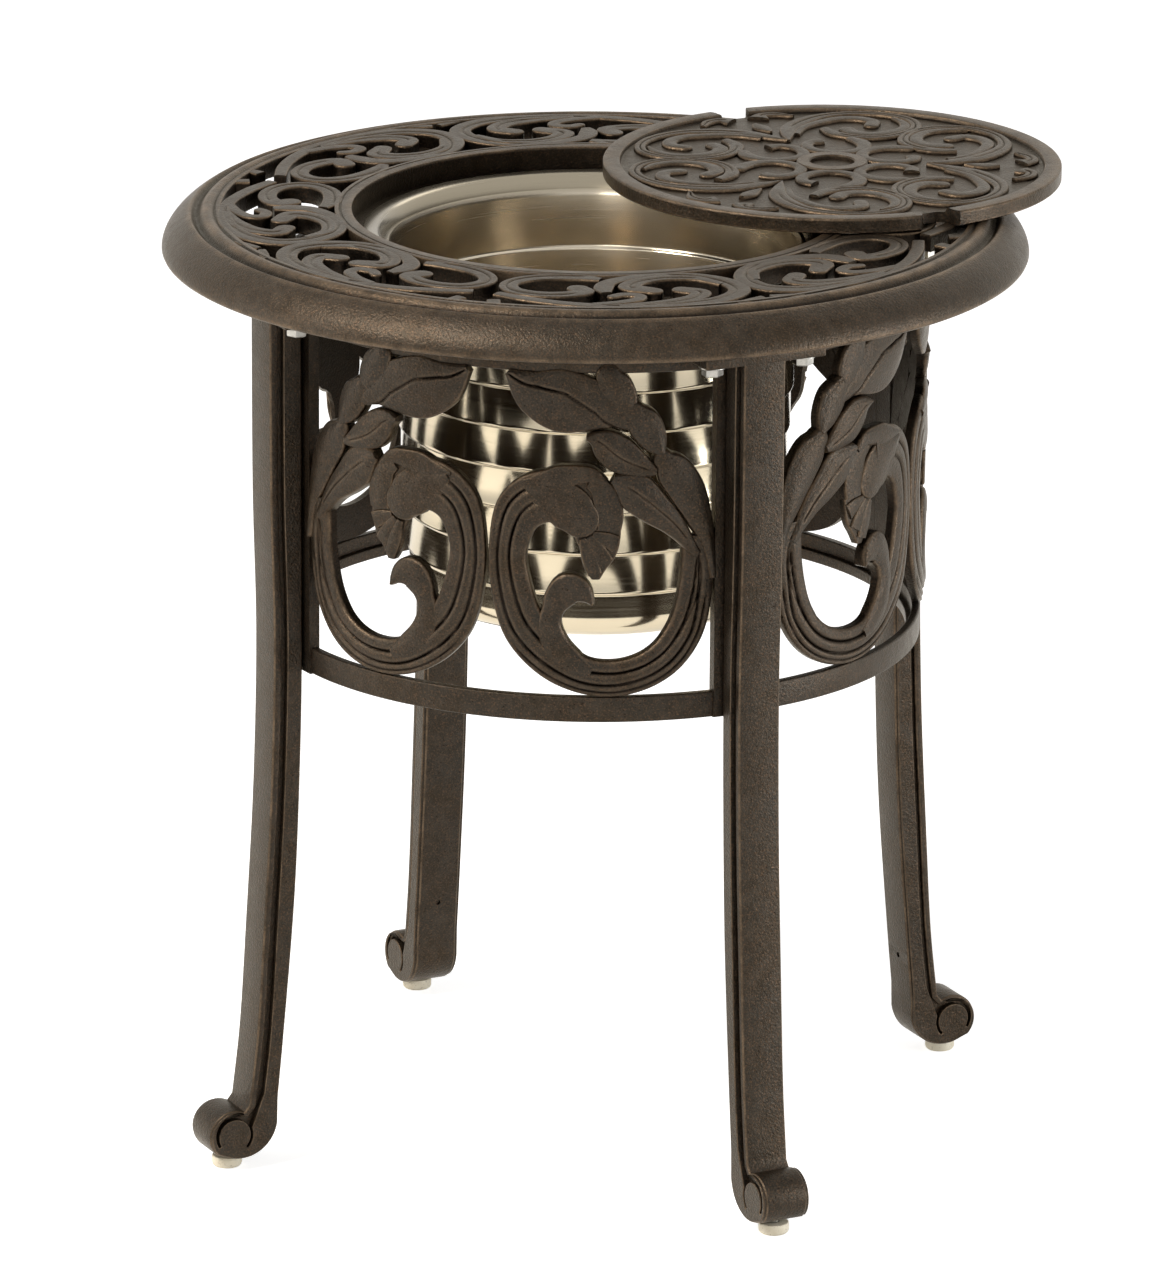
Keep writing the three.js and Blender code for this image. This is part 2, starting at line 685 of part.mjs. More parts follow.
function apronScrolls() {
  return bentApron(joined([
    ...apronRibbons(apronBandShares, false),
    ...apronRibbons(apronBeakShares, false),
    ...apronRibbons(apronTongueShares, true),
    ...apronRibbons(apronLeafShares, false),
    ...apronLobeShares.flatMap((lobe) => apronRibbons(lobe, true)),
  ]));
}

// A bar with a constant profile in distance from the axis and height, between two arc lengths
function apronBar(profile, from, to, segments) {
  const rings = Array.from({ length: segments + 1 }, (_, k) => {
    const angle = (from + ((to - from) * k) / segments) / apronRadius - Math.PI / 2;
    return profile.map(([r, z]) => [r * Math.cos(angle), r * Math.sin(angle), z]);
  });
  return lofted(rings, profile);
}

function apron() {
  const railFront = apronRadius - APRON_RAIL_SETBACK;
  const flangeInner = apronInner - APRON_FLANGE_DEPTH;
  const flangeTop = apronBottom + APRON_FLANGE_HEIGHT;
  const bandTop = apronBottom + APRON_BAND;
  const topRailBottom = apronTop - APRON_TOP_RAIL;
  const bottomRail = [
    [flangeInner, apronBottom],
    [railFront, apronBottom],
    [railFront, bandTop],
    [apronInner, bandTop],
    [apronInner, flangeTop],
    [flangeInner, flangeTop],
  ];
  const topRail = [
    [apronInner, topRailBottom],
    [railFront, topRailBottom],
    [railFront, apronTop],
    [apronInner, apronTop],
  ];
  const endBar = [
    [apronInner, apronBottom],
    [apronRadius, apronBottom],
    [apronRadius, apronTop],
    [apronInner, apronTop],
  ];
  const barInner = apronHalfWidth - APRON_END_BAR;
  const panel = joined([
    apronBar(bottomRail, -apronHalfWidth, apronHalfWidth, RAIL_SEGMENTS),
    apronBar(topRail, -apronHalfWidth, apronHalfWidth, RAIL_SEGMENTS),
    apronBar(endBar, -apronHalfWidth, -barInner, 1),
    apronBar(endBar, barInner, apronHalfWidth, 1),
    apronScrolls(),
  ]);
  const seamCuts = screwHoles(flangeInner - OVERRUN, apronRadius + OVERRUN);
  return lessThose(panel, [-45, -135].flatMap((degrees) => seamCuts.map((cut) => turned(cut, degrees))));
}

// Legs, each built along +X

function legCurve(shares, inwards) {
  const outwards = legReach - legRear;
  const points = shares.map(([up, out]) => (
    new THREE.Vector3(legRear + out * outwards - inwards, up * legTop, 0)
  ));
  const curve = new THREE.CatmullRomCurve3(points, false, 'centripetal');
  return curve.getSpacedPoints(LEG_POINTS).map((p) => [p.x, p.y]);
}

const footEyeAtRadius = legReach - FOOT_ROLL_RADIUS;

const roundEye = (radius, [from, to], steps) => (
  arcPoints(footEyeAtRadius, FOOT_EYE_HEIGHT, radius, from, to, steps)
);

const roundHeel = (radius, [from, to], steps) => (
  arcPoints(legReach - FOOT_HEEL_SETBACK, FOOT_HEEL_HEIGHT, radius, from, to, steps)
);

function legOutline() {
  return [
    ...legCurve(legFaceShares, 0),
    ...roundEye(FOOT_ROLL_RADIUS, rollDegrees, ROLL_STEPS),
    ...roundHeel(FOOT_HEEL_RADIUS, heelDegrees, HEEL_STEPS),
    ...legCurve(legRearShares, 0),
  ];
}

// The raised rib runs down between the two edge strips and swells into the cheek of the heel,
// which joins the disc at the foot's eye
function ribOutline() {
  return [
    ...legCurve(legFaceShares, LEG_FRONT_STRIP),
    ...roundEye(FOOT_DISC_RADIUS + FOOT_GROOVE_WIDTH, grooveDegrees, GROOVE_STEPS),
    [footEyeAtRadius, FOOT_EYE_HEIGHT],
    ...roundHeel(FOOT_HEEL_RADIUS - FOOT_EDGE, cheekDegrees, HEEL_STEPS - 1),
    ...legCurve(legRearShares, -LEG_REAR_STRIP),
  ];
}

function leg() {
  const flangeHalf = LEG_FLANGE_WIDTH / 2;
  const body = joined([
    sideways(legOutline(), LEG_FACE_WIDTH),
    sideways(ribOutline(), LEG_RIB_WIDTH),
    sideways(roundEye(FOOT_DISC_RADIUS, discDegrees, DISC_STEPS), LEG_RIB_WIDTH),
    block(legRear, legRear + LEG_FLANGE_DEPTH, -flangeHalf, flangeHalf, legFlangeBottom, legTop),
  ]);
  const stemHole = rod(
    STEM_RADIUS + HOLE_CLEARANCE,
    HEX,
    new THREE.Vector3(padAtRadius, 0, PAD_HEIGHT - OVERRUN),
    new THREE.Vector3(padAtRadius, 0, stemTop + OVERRUN),
  );
  return lessThose(body, [
    ...boltHoles(legFlangeBottom - OVERRUN, legTop + OVERRUN),
    ...screwHoles(apronRadius, screwTip + OVERRUN),
    stemHole,
  ]);
}

// Glides and fasteners

function glidePad() {
  return revolved([
    [0, 0],
    [PAD_RADIUS - PAD_EDGE, 0],
    [PAD_RADIUS, PAD_EDGE],
    [PAD_RADIUS, PAD_HEIGHT],
    [STEM_RADIUS + FIT, PAD_HEIGHT],
    [STEM_RADIUS + FIT, stemBottom - FIT],
    [0, stemBottom - FIT],
  ], RING_SEGMENTS);
}

function glideStem() {
  return revolved([[0, stemBottom], [STEM_RADIUS, stemBottom], [STEM_RADIUS, stemTop], [0, stemTop]], HEX);
}

const boltProfile = (headRadius, headHeight, radius, seat, tip) => [
  [0, seat - headHeight],
  [headRadius, seat - headHeight],
  [headRadius, seat],
  [radius, seat],
  [radius, tip],
  [0, tip],
];

function topBolt() {
  return revolved(boltProfile(BOLT_HEAD_RADIUS, BOLT_HEAD_HEIGHT, BOLT_RADIUS, boltHeadTop, boltTip), HEX);
}

function washer() {
  const bore = BOLT_RADIUS + HOLE_CLEARANCE;
  const washerBottom = washerTop - WASHER_THICKNESS;
  return revolvedRing([
    [bore, washerBottom],
    [WASHER_RADIUS, washerBottom],
    [WASHER_RADIUS, washerTop],
    [bore, washerTop],
  ], HEX);
}

// The screw is drawn upright, then laid along +X with its head inside the aprons
function apronScrew() {
  const profile = boltProfile(SCREW_HEAD_RADIUS, SCREW_HEAD_HEIGHT, SCREW_RADIUS, screwSeat, screwTip);
  return revolved(profile, HEX).rotate([0, 90, 0]);
}

// Assembly

const table = new THREE.Group();
table.add(meshFrom('table_top', tableTop(), bronzeCoat));
table.add(meshFrom('ice_bucket', iceBucket(), stainless));

const lidMesh = meshFrom('lid', lid(), bronzeCoat);
lidMesh.position.set(LID_X, LID_Y, TOP_HEIGHT + FIT);
lidMesh.rotation.z = Math.PI / 4;
table.add(lidMesh);

const apronSolid = apron();
['front', 'right', 'rear', 'left'].forEach((side, k) => {
  const mesh = meshFrom(`apron_${side}`, apronSolid, bronzeCoat);
  mesh.rotation.z = (k * Math.PI) / 2;
  table.add(mesh);
});

const legSolid = leg();
const padSolid = glidePad();
const stemSolid = glideStem();
const boltSolid = topBolt();
const washerSolid = washer();
const screwSolid = apronScrew();
['rear_right', 'rear_left', 'front_left', 'front_right'].forEach((corner, k) => {
  const group = new THREE.Group();
  group.rotation.z = Math.PI / 4 + (k * Math.PI) / 2;
  group.add(meshFrom(`leg_${corner}`, legSolid, bronzeCoat));
  const pad = meshFrom(`glide_pad_${corner}`, padSolid, nylon);
  const stem = meshFrom(`glide_stem_${corner}`, stemSolid, zincSteel);
  for (const piece of [pad, stem]) {
    piece.position.x = padAtRadius;
    group.add(piece);
  }
  boltPlaces.forEach((across, place) => {
    const bolt = meshFrom(`top_bolt_${corner}_${place + 1}`, boltSolid, zincSteel);
    const ring = meshFrom(`washer_${corner}_${place + 1}`, washerSolid, zincSteel);
    for (const piece of [bolt, ring]) {
      piece.position.set(boltAtRadius, across, 0);
      group.add(piece);
    }
  });
  screwHeights.forEach((z, place) => {
    const screw = meshFrom(`apron_screw_${corner}_${place + 1}`, screwSolid, zincSteel);
    screw.position.z = z;
    group.add(screw);
  });
  table.add(group);
});

export default table;
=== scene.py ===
import math

import bpy
import numpy as np
from mathutils import Matrix, Vector

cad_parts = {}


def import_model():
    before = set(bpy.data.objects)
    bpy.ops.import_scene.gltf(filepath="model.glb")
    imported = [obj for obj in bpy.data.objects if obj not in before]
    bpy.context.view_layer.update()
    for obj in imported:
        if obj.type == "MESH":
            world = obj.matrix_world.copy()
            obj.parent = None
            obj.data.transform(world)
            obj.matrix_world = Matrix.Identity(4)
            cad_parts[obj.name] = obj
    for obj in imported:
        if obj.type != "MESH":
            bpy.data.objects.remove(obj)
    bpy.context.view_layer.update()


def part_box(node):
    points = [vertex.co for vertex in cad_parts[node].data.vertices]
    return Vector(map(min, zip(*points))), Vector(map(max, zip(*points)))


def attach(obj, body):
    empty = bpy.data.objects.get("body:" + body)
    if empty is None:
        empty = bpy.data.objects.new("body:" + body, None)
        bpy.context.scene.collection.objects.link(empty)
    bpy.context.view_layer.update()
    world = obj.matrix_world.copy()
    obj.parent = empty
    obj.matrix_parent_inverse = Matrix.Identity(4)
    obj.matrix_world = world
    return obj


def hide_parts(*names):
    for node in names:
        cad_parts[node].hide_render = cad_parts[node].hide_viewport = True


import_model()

# Round patio coffee table in cast metal with a stainless ice bucket in its middle.
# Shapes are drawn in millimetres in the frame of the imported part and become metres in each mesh.
MM = 0.001
SIDES = ("front", "right", "rear", "left")
CORNERS = ("rear_right", "rear_left", "front_left", "front_right")


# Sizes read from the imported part
def spans(node):
    low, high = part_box(node)
    return np.array(low) / MM, np.array(high) / MM


top_high = spans("table_top")[1]
lid_low, lid_high = spans("lid")
bucket_low, bucket_high = spans("ice_bucket")
apron_low, apron_high = spans("apron_front")
washer_low, washer_high = spans("washer_front_left_1")
bolt_low, bolt_high = spans("top_bolt_front_left_1")

TOP = top_high[2]
TOP_RADIUS = top_high[0]
OPENING_RADIUS = bucket_high[0] + 7.5
FIELD_INNER = OPENING_RADIUS + 8
FIELD_OUTER = TOP_RADIUS - 37
SCROLL_BOTTOM = TOP - 12
LEDGE_TOP = TOP - 16
LEDGE_INNER = OPENING_RADIUS - 14
APRON_OUTER = TOP_RADIUS - 69
APRON_INNER = APRON_OUTER - 8
APRON_BOTTOM, APRON_TOP = apron_low[2], apron_high[2]
APRON_HALF = APRON_OUTER * math.pi / 4 - 0.15
LEG_TOP = TOP - 39
LEG_REAR = APRON_OUTER + 0.5
LEG_REACH = TOP_RADIUS + 2.5
LID_RADIUS = OPENING_RADIUS - 8
LID_BOTTOM, LID_TOP = lid_low[2], lid_high[2]
LID_MIDDLE = (lid_low + lid_high) / 2
BUCKET_BOTTOM, BUCKET_TOP = bucket_low[2], bucket_high[2]


# Solids: points, faces, how worn each point is and how much painted shade it takes in creases and recesses
def solid(points, faces, wear=None, hollow=None):
    points = np.asarray(points, float)
    none = np.zeros(len(points))
    made = {"points": points, "faces": faces}
    made["wear"] = none if wear is None else np.asarray(wear, float)
    made["hollow"] = none if hollow is None else np.asarray(hollow, float)
    return made


def facing_out(made):
    volume = 0.0
    points = made["points"]
    for face in made["faces"]:
        a = points[face[0]]
        for b, c in zip(face[1:-1], face[2:]):
            volume += float(np.dot(a, np.cross(points[b], points[c])))
    if volume < 0:
        made["faces"] = [tuple(reversed(face)) for face in made["faces"]]
    return made


def together(parts):
    faces, start = [], 0
    for part in parts:
        faces += [tuple(k + start for k in face) for face in part["faces"]]
        start += len(part["points"])
    merged = {key: np.concatenate([part[key] for part in parts]) for key in ("points", "wear", "hollow")}
    merged["faces"] = faces
    return merged


def mapped(part, change, flip=False):
    faces = [tuple(reversed(face)) for face in part["faces"]] if flip else part["faces"]
    return {**part, "points": change(part["points"]), "faces": faces}


def mirrored(part):
    return mapped(part, lambda p: p * [-1, 1, 1], True)


def turned(part, degrees):
    c, s = math.cos(math.radians(degrees)), math.sin(math.radians(degrees))
    return mapped(part, lambda p: p @ np.array([[c, s, 0], [-s, c, 0], [0, 0, 1]]))


def moved(part, x, y, z):
    return mapped(part, lambda p: p + [x, y, z])


def tube_faces(rows, around, closed_rows=False):
    faces = []
    for i in range(rows if closed_rows else rows - 1):
        a, b = i * around, (i + 1) % rows * around
        for k in range(around):
            n = (k + 1) % around
            faces.append((a + k, a + n, b + n, b + k))
    return faces


def capped_tube(rows, around):
    """Faces of a tube through rows of points, with one flat face on each end."""
    ends = [tuple(range(around))[::-1], tuple(range((rows - 1) * around, rows * around))]
    return tube_faces(rows, around) + ends


# Curves
def smooth_curve(points, per_span=14):
    """Centripetal Catmull-Rom curve through points of any dimension."""
    points = np.asarray(points, float)
    ends = np.vstack([2 * points[0] - points[1], points, 2 * points[-1] - points[-2]])
    made = []
    for k in range(len(points) - 1):
        p0, p1, p2, p3 = ends[k:k + 4]
        d0, d1, d2 = (max(np.linalg.norm(b - a) ** 0.5, 1e-9) for a, b in ((p0, p1), (p1, p2), (p2, p3)))
        m1 = ((p1 - p0) / d0 - (p2 - p0) / (d0 + d1) + (p2 - p1) / d1) * d1
        m2 = ((p2 - p1) / d1 - (p3 - p1) / (d1 + d2) + (p3 - p2) / d2) * d1
        t = np.linspace(0, 1, per_span, endpoint=False)[:, None]
        made.append((2 * t**3 - 3 * t**2 + 1) * p1 + (t**3 - 2 * t**2 + t) * m1
                    + (3 * t**2 - 2 * t**3) * p2 + (t**3 - t**2) * m2)
    return np.vstack([*made, points[-1:]])


def evenly(curve, step):
    """The same curve at even steps along its first two coordinates."""
    length = np.concatenate([[0], np.cumsum(np.hypot(*np.diff(curve[:, :2], axis=0).T))])
    at = np.linspace(0, length[-1], max(3, int(round(length[-1] / step)) + 1))
    return np.column_stack([np.interp(at, length, column) for column in curve.T])


def arc(x, y, radius, start, end, steps):
    angles = np.radians(np.linspace(start, end, steps + 1))
    return np.column_stack([x + radius * np.cos(angles), y + radius * np.sin(angles)])


def rounded(outline, radius, steps=3):
    """A closed outline with its corners rounded off."""
    outline = np.asarray(outline, float)
    radii = np.broadcast_to(np.asarray(radius, float), len(outline))
    made = []
    for k, corner in enumerate(outline):
        before, after = outline[k - 1] - corner, outline[(k + 1) % len(outline)] - corner
        reach = min(radii[k], 0.45 * np.linalg.norm(before), 0.45 * np.linalg.norm(after))
        if reach <= 0:
            made.append(corner)
            continue
        a = corner + before / np.linalg.norm(before) * reach
        b = corner + after / np.linalg.norm(after) * reach
        for t in np.linspace(0, 1, steps + 1):
            made.append((1 - t)**2 * a + 2 * t * (1 - t) * corner + t**2 * b)
    return np.array(made)


# Ribbons: cast bands of changing width along a curve on a flat drawing
END_TURNS = np.radians(np.linspace(12, 86, 8))
# Columns of points at an edge, in edge radii, and how far below the top's edge the flanks begin
EDGE_COLUMNS = np.array([0.0, 0.3, 0.7, 1.2])
FLANK_TOP = 0.9
BEAD_PLACE, BEAD_WIDTH = 1.5, 0.9
# Columns of ribbon_rows; the share of the length stands between the bend and the distance ahead
PLACE, WAY, WHOLE, HALF, BEND, AHEAD = slice(0, 2), slice(2, 4), 4, 5, 6, 8


def end_rows(row, sign):
    """Copies of a ribbon's end row that close it with a half round."""
    rows = np.repeat(row[None], len(END_TURNS), axis=0)
    rows[:, AHEAD] = row[HALF] * np.sin(END_TURNS)
    rows[:, PLACE] += sign * np.outer(rows[:, AHEAD], row[WAY])
    rows[:, HALF] *= np.cos(END_TURNS)
    rows[:, BEND] = 0
    return rows[::sign]


def ribbon_rows(path, step, round_start, round_end):
    """Place, way, whole and narrowed half width, bend, share of the length and distance past the end."""
    curve = evenly(smooth_curve(path), step)
    way = np.gradient(curve[:, :2], axis=0)
    way /= np.linalg.norm(way, axis=1)[:, None]
    run = np.concatenate([[0], np.cumsum(np.hypot(*np.diff(curve[:, :2], axis=0).T))])
    bend = np.gradient(np.unwrap(np.arctan2(way[:, 1], way[:, 0])), run)
    half = curve[:, 2] / 2
    rows = np.column_stack([curve[:, :2], way, half, half, bend, run / run[-1], np.zeros(len(run))])
    if round_end:
        rows = np.vstack([rows, end_rows(rows[-1], 1)])
    if round_start:
        rows = np.vstack([end_rows(rows[0], -1), rows])
    return rows


def ribbon(path, low, high, edge=0.9, crown=0.0, bead=0.0, lines=(), step=2.0, pitch=1.1,
           round_start=False, round_end=False, lift=0.0):
    """path holds x, y and width; lines hold (share along, place across from -1 to 1), width and depth."""
    rows = ribbon_rows(path, step, round_start, round_end)
    count = len(rows)
    way = rows[:, WAY]
    whole, half, bend, share, ahead = rows[:, WHOLE:].T
    # Columns: close together along both edges, evenly spaced between them
    margin = EDGE_COLUMNS * max(edge, 0.4)
    inner = max(3, int(round((2 * half.max() - 2 * margin[-1]) / pitch)))
    across = []
    for w in half:
        left = margin * min(1.0, 0.45 * w / margin[-1]) - w
        across.append(np.concatenate([left, np.linspace(left[-1], -left[-1], inner + 1)[1:-1], -left[::-1]]))
    across = np.array(across)
    place = across / np.maximum(half, 1e-6)[:, None]
    # On the inside of a tight bend the band stops short of the bend's own middle
    limit = 0.93 / np.maximum(np.abs(bend), 1e-6)
    limit = np.convolve(np.pad(limit, 2, mode="edge"), np.ones(5) / 5, mode="valid")
    narrow = np.minimum(1.0, limit / np.maximum(half, 1e-6))[:, None]
    offset = np.where(np.sign(place) == -np.sign(bend)[:, None], across * narrow, across)
    right = np.column_stack([way[:, 1], -way[:, 0]])
    flat = rows[:, None, PLACE] + offset[:, :, None] * right[:, None, :]
    # Heights: rounded edges, a crown over the middle and a bead along the edge
    from_edge = np.maximum(whole[:, None] - np.hypot(ahead[:, None], across), 0)
    fillet = np.clip(edge - from_edge, 0, edge)
    z = high + lift - (edge - np.sqrt(np.maximum(edge**2 - fillet**2, 0)))
    to_middle = 1 - from_edge / np.maximum(whole, 1e-6)[:, None]
    z += crown * (1 - to_middle**2)
    z += bead * np.exp(-((from_edge - BEAD_PLACE) / BEAD_WIDTH)**2)
    wear = 0.9 * np.exp(-((from_edge - 0.4 * edge) / 0.6)**2)
    # Painted shade where the band's edge turns down into the crease beside it
    hollow = 0.7 * np.exp(-(from_edge / 0.4)**2)
    for table, width, depth in lines:
        table = np.asarray(table, float)
        first, last = table[0, 0], table[-1, 0]
        at = np.interp(share, table[:, 0], table[:, 1])[:, None]
        there = np.interp(share, [first - 0.03, first, last, last + 0.03], [0, 1, 1, 0])[:, None]
        away = np.abs(place - at) * whole[:, None]
        z -= depth * there * np.exp(-away / width)
        # Painted shade down each groove
        hollow = np.maximum(hollow, there * np.exp(-(away / (0.8 * width))**2))
        wear = np.maximum(wear, 0.3 * there * np.exp(-((away - 1.9 * width) / 0.9)**2))
    # Down one flank, across the underside and up the other flank
    deep = np.full(count, low)
    under = np.column_stack([z[:, -1] - FLANK_TOP, deep, deep, z[:, 0] - FLANK_TOP])
    loop = np.concatenate([np.dstack([flat, z]), np.dstack([flat[:, [-1, -1, 0, 0]], under])], axis=1)
    wear = np.pad(wear, ((0, 0), (0, 4)))
    # Painted shade over the flanks and underside
    hollow = np.pad(hollow, ((0, 0), (0, 4)), constant_values=0.6)
    faces = capped_tube(count, loop.shape[1])
    return facing_out(solid(loop.reshape(-1, 3), faces, wear.ravel(), hollow.ravel()))


def both_sides(part):
    return [part, mirrored(part)]


# Revolved, bent and flat-sided forms
def revolved(profile, segments):
    """Rows of distance, height and, where given, wear and painted shade, turned round the z axis.

    A profile whose ends are on the axis is closed there, and any other is closed from its end to its start.
    """
    rows = np.array([(*row, 0.0, 0.0)[:4] for row in profile], float)
    on_axis = rows[0, 0] < 1e-6 and rows[-1, 0] < 1e-6
    body = rows[1:-1] if on_axis else rows
    angles = np.linspace(0, 2 * math.pi, segments, endpoint=False)
    points = np.array([[r * math.cos(a), r * math.sin(a), z] for r, z in body[:, :2] for a in angles])
    faces = tube_faces(len(body), segments, closed_rows=not on_axis)
    shade = np.repeat(body[:, 2:], segments, axis=0)
    if on_axis:
        first, last = len(points), len(points) + 1
        points = np.vstack([points, [0, 0, rows[0, 1]], [0, 0, rows[-1, 1]]])
        end = (len(body) - 1) * segments
        for k in range(segments):
            n = (k + 1) % segments
            faces += [(first, n, k), (last, end + k, end + n)]
        shade = np.vstack([shade, np.zeros((2, 2))])
    return facing_out(solid(points, faces, *shade.T))


def from_corner(x, z, rows):
    """Profile rows that are given from a corner of the profile."""
    return [(x + row[0], z + row[1], *row[2:]) for row in rows]


def plate(outline, half, edge, wear=0.8):
    """A side view outline given a width across, with rounded edges."""
    outline = np.asarray(outline, float)
    after, before = np.roll(outline, -1, axis=0), np.roll(outline, 1, axis=0)
    way = after - before
    way /= np.maximum(np.linalg.norm(way, axis=1), 1e-9)[:, None]
    area = 0.5 * float(np.sum(outline[:, 0] * after[:, 1] - after[:, 0] * outline[:, 1]))
    inwards = np.column_stack([-way[:, 1], way[:, 0]]) * math.copysign(1, area)
    turns = (0, 25, 50, 72, 90)
    rows, worn = [], []
    for side, order in ((1, turns[::-1]), (-1, turns)):
        for degrees in order:
            turn = math.radians(degrees)
            ring = outline + inwards * edge * (1 - math.cos(turn))
            y = np.full(len(outline), side * (half - edge + edge * math.sin(turn)))
            rows.append(np.column_stack([ring[:, 0], y, ring[:, 1]]))
            worn.append(np.full(len(outline), wear * (0 < degrees < 90)))
    return facing_out(solid(np.vstack(rows), capped_tube(len(rows), len(outline)), np.concatenate(worn)))


def band(outer, inner, half, edge, wear=0.8):
    """A side view strip between two matching curves, given a width across."""
    across = inner - outer
    wide = np.linalg.norm(across, axis=1)[:, None]
    across = across / np.maximum(wide, 1e-9)
    edge_here = np.minimum(edge, 0.45 * wide)
    corner = []
    for degrees in (0, 30, 60, 90):
        turn = math.radians(degrees)
        inset = across * edge_here * (1 - math.cos(turn))
        corner.append((inset, half - edge + edge * math.sin(turn), wear * (0 < degrees < 90)))
    loop = [(outer + inset, y, worn) for inset, y, worn in corner]
    loop += [(inner - inset, y, worn) for inset, y, worn in reversed(corner)]
    loop += [(inner - inset, -y, worn) for inset, y, worn in corner]
    loop += [(outer + inset, -y, worn) for inset, y, worn in reversed(corner)]
    rows = len(outer)
    points = [(ring[k, 0], y, ring[k, 1]) for k in range(rows) for ring, y, _ in loop]
    worn_all = np.tile([worn for _, _, worn in loop], rows)
    return facing_out(solid(points, capped_tube(rows, len(loop)), worn_all))


def block(x0, x1, y0, y1, z0, z1, edge=1.2):
    outline = rounded([(x0, z0), (x1, z0), (x1, z1), (x0, z1)], edge, 2)
    return moved(plate(outline, (y1 - y0) / 2, edge, 0.4), 0, (y0 + y1) / 2, 0)


def arc_bar(profile, start, end, steps):
    """A closed profile of distance and height carried round the axis between two arc lengths."""
    points = []
    for u in np.linspace(start, end, steps + 1):
        angle = u / APRON_OUTER - math.pi / 2
        points += [(r * math.cos(angle), r * math.sin(angle), z) for r, z in profile]
    return facing_out(solid(points, capped_tube(steps + 1, len(profile))))


# Materials
class Nodes:
    """The nodes and links of a material or of the world."""

    def __init__(self, owner):
        owner.use_nodes = True
        self.nodes = owner.node_tree.nodes
        self.links = owner.node_tree.links

    def add(self, kind, inputs=None, **settings):
        node = self.nodes.new(kind)
        for key, value in settings.items():
            setattr(node, key, value)
        for key, value in (inputs or {}).items():
            self.put(node.inputs[key], value)
        return node

    def put(self, socket, value):
        if isinstance(value, bpy.types.NodeSocket):
            self.links.new(value, socket)
        else:
            socket.default_value = value

    def maths(self, operation, a, b=0.0):
        return self.add("ShaderNodeMath", {0: a, 1: b}, operation=operation).outputs[0]


class Finish(Nodes):
    """A material whose nodes work on the piece's own coordinates."""

    def __init__(self, name):
        self.material = bpy.data.materials.new(name)
        super().__init__(self.material)
        self.shader = self.nodes["Principled BSDF"]
        self.place = self.add("ShaderNodeTexCoord").outputs["Object"]

    def set(self, **inputs):
        for key, value in inputs.items():
            self.put(self.shader.inputs[key.replace("_", " ")], value)

    def noise(self, scale, detail=2.0, roughness=0.5, stretch=None):
        place = self.place
        if stretch:
            place = self.add("ShaderNodeMapping", {"Vector": self.place, "Scale": stretch}).outputs[0]
        found = {"Vector": place, "Scale": scale, "Detail": detail, "Roughness": roughness}
        return self.add("ShaderNodeTexNoise", found).outputs["Fac"]

    def between(self, value, low, high, to_low=0.0, to_high=1.0):
        inputs = {"Value": value, "From Min": low, "From Max": high, "To Min": to_low, "To Max": to_high}
        return self.add("ShaderNodeMapRange", inputs).outputs["Result"]

    def mix(self, share, a, b):
        node = self.add("ShaderNodeMix", data_type="RGBA")
        for socket, value in zip((node.inputs[0], node.inputs[6], node.inputs[7]), (share, a, b)):
            if isinstance(value, tuple) and len(value) == 3:
                value = (*value, 1.0)
            self.put(socket, value)
        return node.outputs[2]

    def attribute(self, name):
        return self.add("ShaderNodeAttribute", attribute_name=name).outputs["Fac"]

    def bump(self, height, strength, distance, under=None):
        inputs = {"Height": height, "Strength": strength, "Distance": distance}
        if under is not None:
            inputs["Normal"] = under
        return self.add("ShaderNodeBump", inputs).outputs["Normal"]


def bronze_coat():
    """Dark speckled powder coat: coppery where worn, with painted shade turning it to near-black metal in
    creases, grooves and under parts.
    """
    finish = Finish("bronze_coat")
    broad = finish.noise(30.0, 3.0, 0.55)
    mottle = finish.noise(110.0, 3.0, 0.6)
    colour = finish.mix(finish.between(broad, 0.36, 0.64), (0.025, 0.018, 0.011), (0.025, 0.021, 0.016))
    colour = finish.mix(finish.between(mottle, 0.42, 0.66, 0.0, 0.6), colour, (0.043, 0.034, 0.025))
    copper = finish.noise(760.0, 2.0, 0.6)
    colour = finish.mix(finish.between(copper, 0.50, 0.72, 0.0, 0.6), colour, (0.10, 0.056, 0.030))
    dark = finish.noise(620.0, 2.0, 0.5, (0.9, 1.0, 1.3))
    colour = finish.mix(finish.between(dark, 0.60, 0.70, 0.0, 0.75), colour, (0.014, 0.010, 0.008))
    # Painted shade: near-black where creases, grooves and undersides are marked
    hollow = finish.attribute("hollow")
    colour = finish.mix(finish.between(hollow, 0.1, 1.0, 0.0, 0.9), colour, (0.009, 0.007, 0.006))
    patchy = finish.between(finish.noise(60.0, 3.0, 0.65), 0.34, 0.60, 0.15, 0.8)
    worn = finish.maths("MULTIPLY", finish.attribute("wear"), patchy)
    rubbed = finish.between(finish.noise(900.0, 2.0, 0.5), 0.30, 0.62, 0.4, 1.0)
    colour = finish.mix(finish.maths("MULTIPLY", worn, rubbed), colour, (0.19, 0.13, 0.08))
    normal = finish.bump(finish.noise(560.0, 3.0, 0.6), 0.7, 0.0008)
    normal = finish.bump(finish.noise(1500.0, 2.0, 0.5), 0.2, 0.0002, normal)
    normal = finish.bump(finish.noise(60.0, 2.0, 0.5), 0.2, 0.0010, normal)
    # Painted shade also turns the coat to dark metal there, so its sheen goes dark as well
    painted_shade_metal = finish.between(hollow, 0.1, 0.7, 0.7, 1.0)
    metal = finish.maths("MAXIMUM", painted_shade_metal, finish.between(dark, 0.60, 0.70))
    finish.set(Base_Color=colour, Metallic=metal, Normal=normal)
    finish.set(Roughness=finish.between(mottle, 0.3, 0.7, 0.30, 0.42))
    finish.set(Specular_IOR_Level=0.35, Specular_Tint=(1.0, 0.95, 0.86, 1.0))
    return finish.material


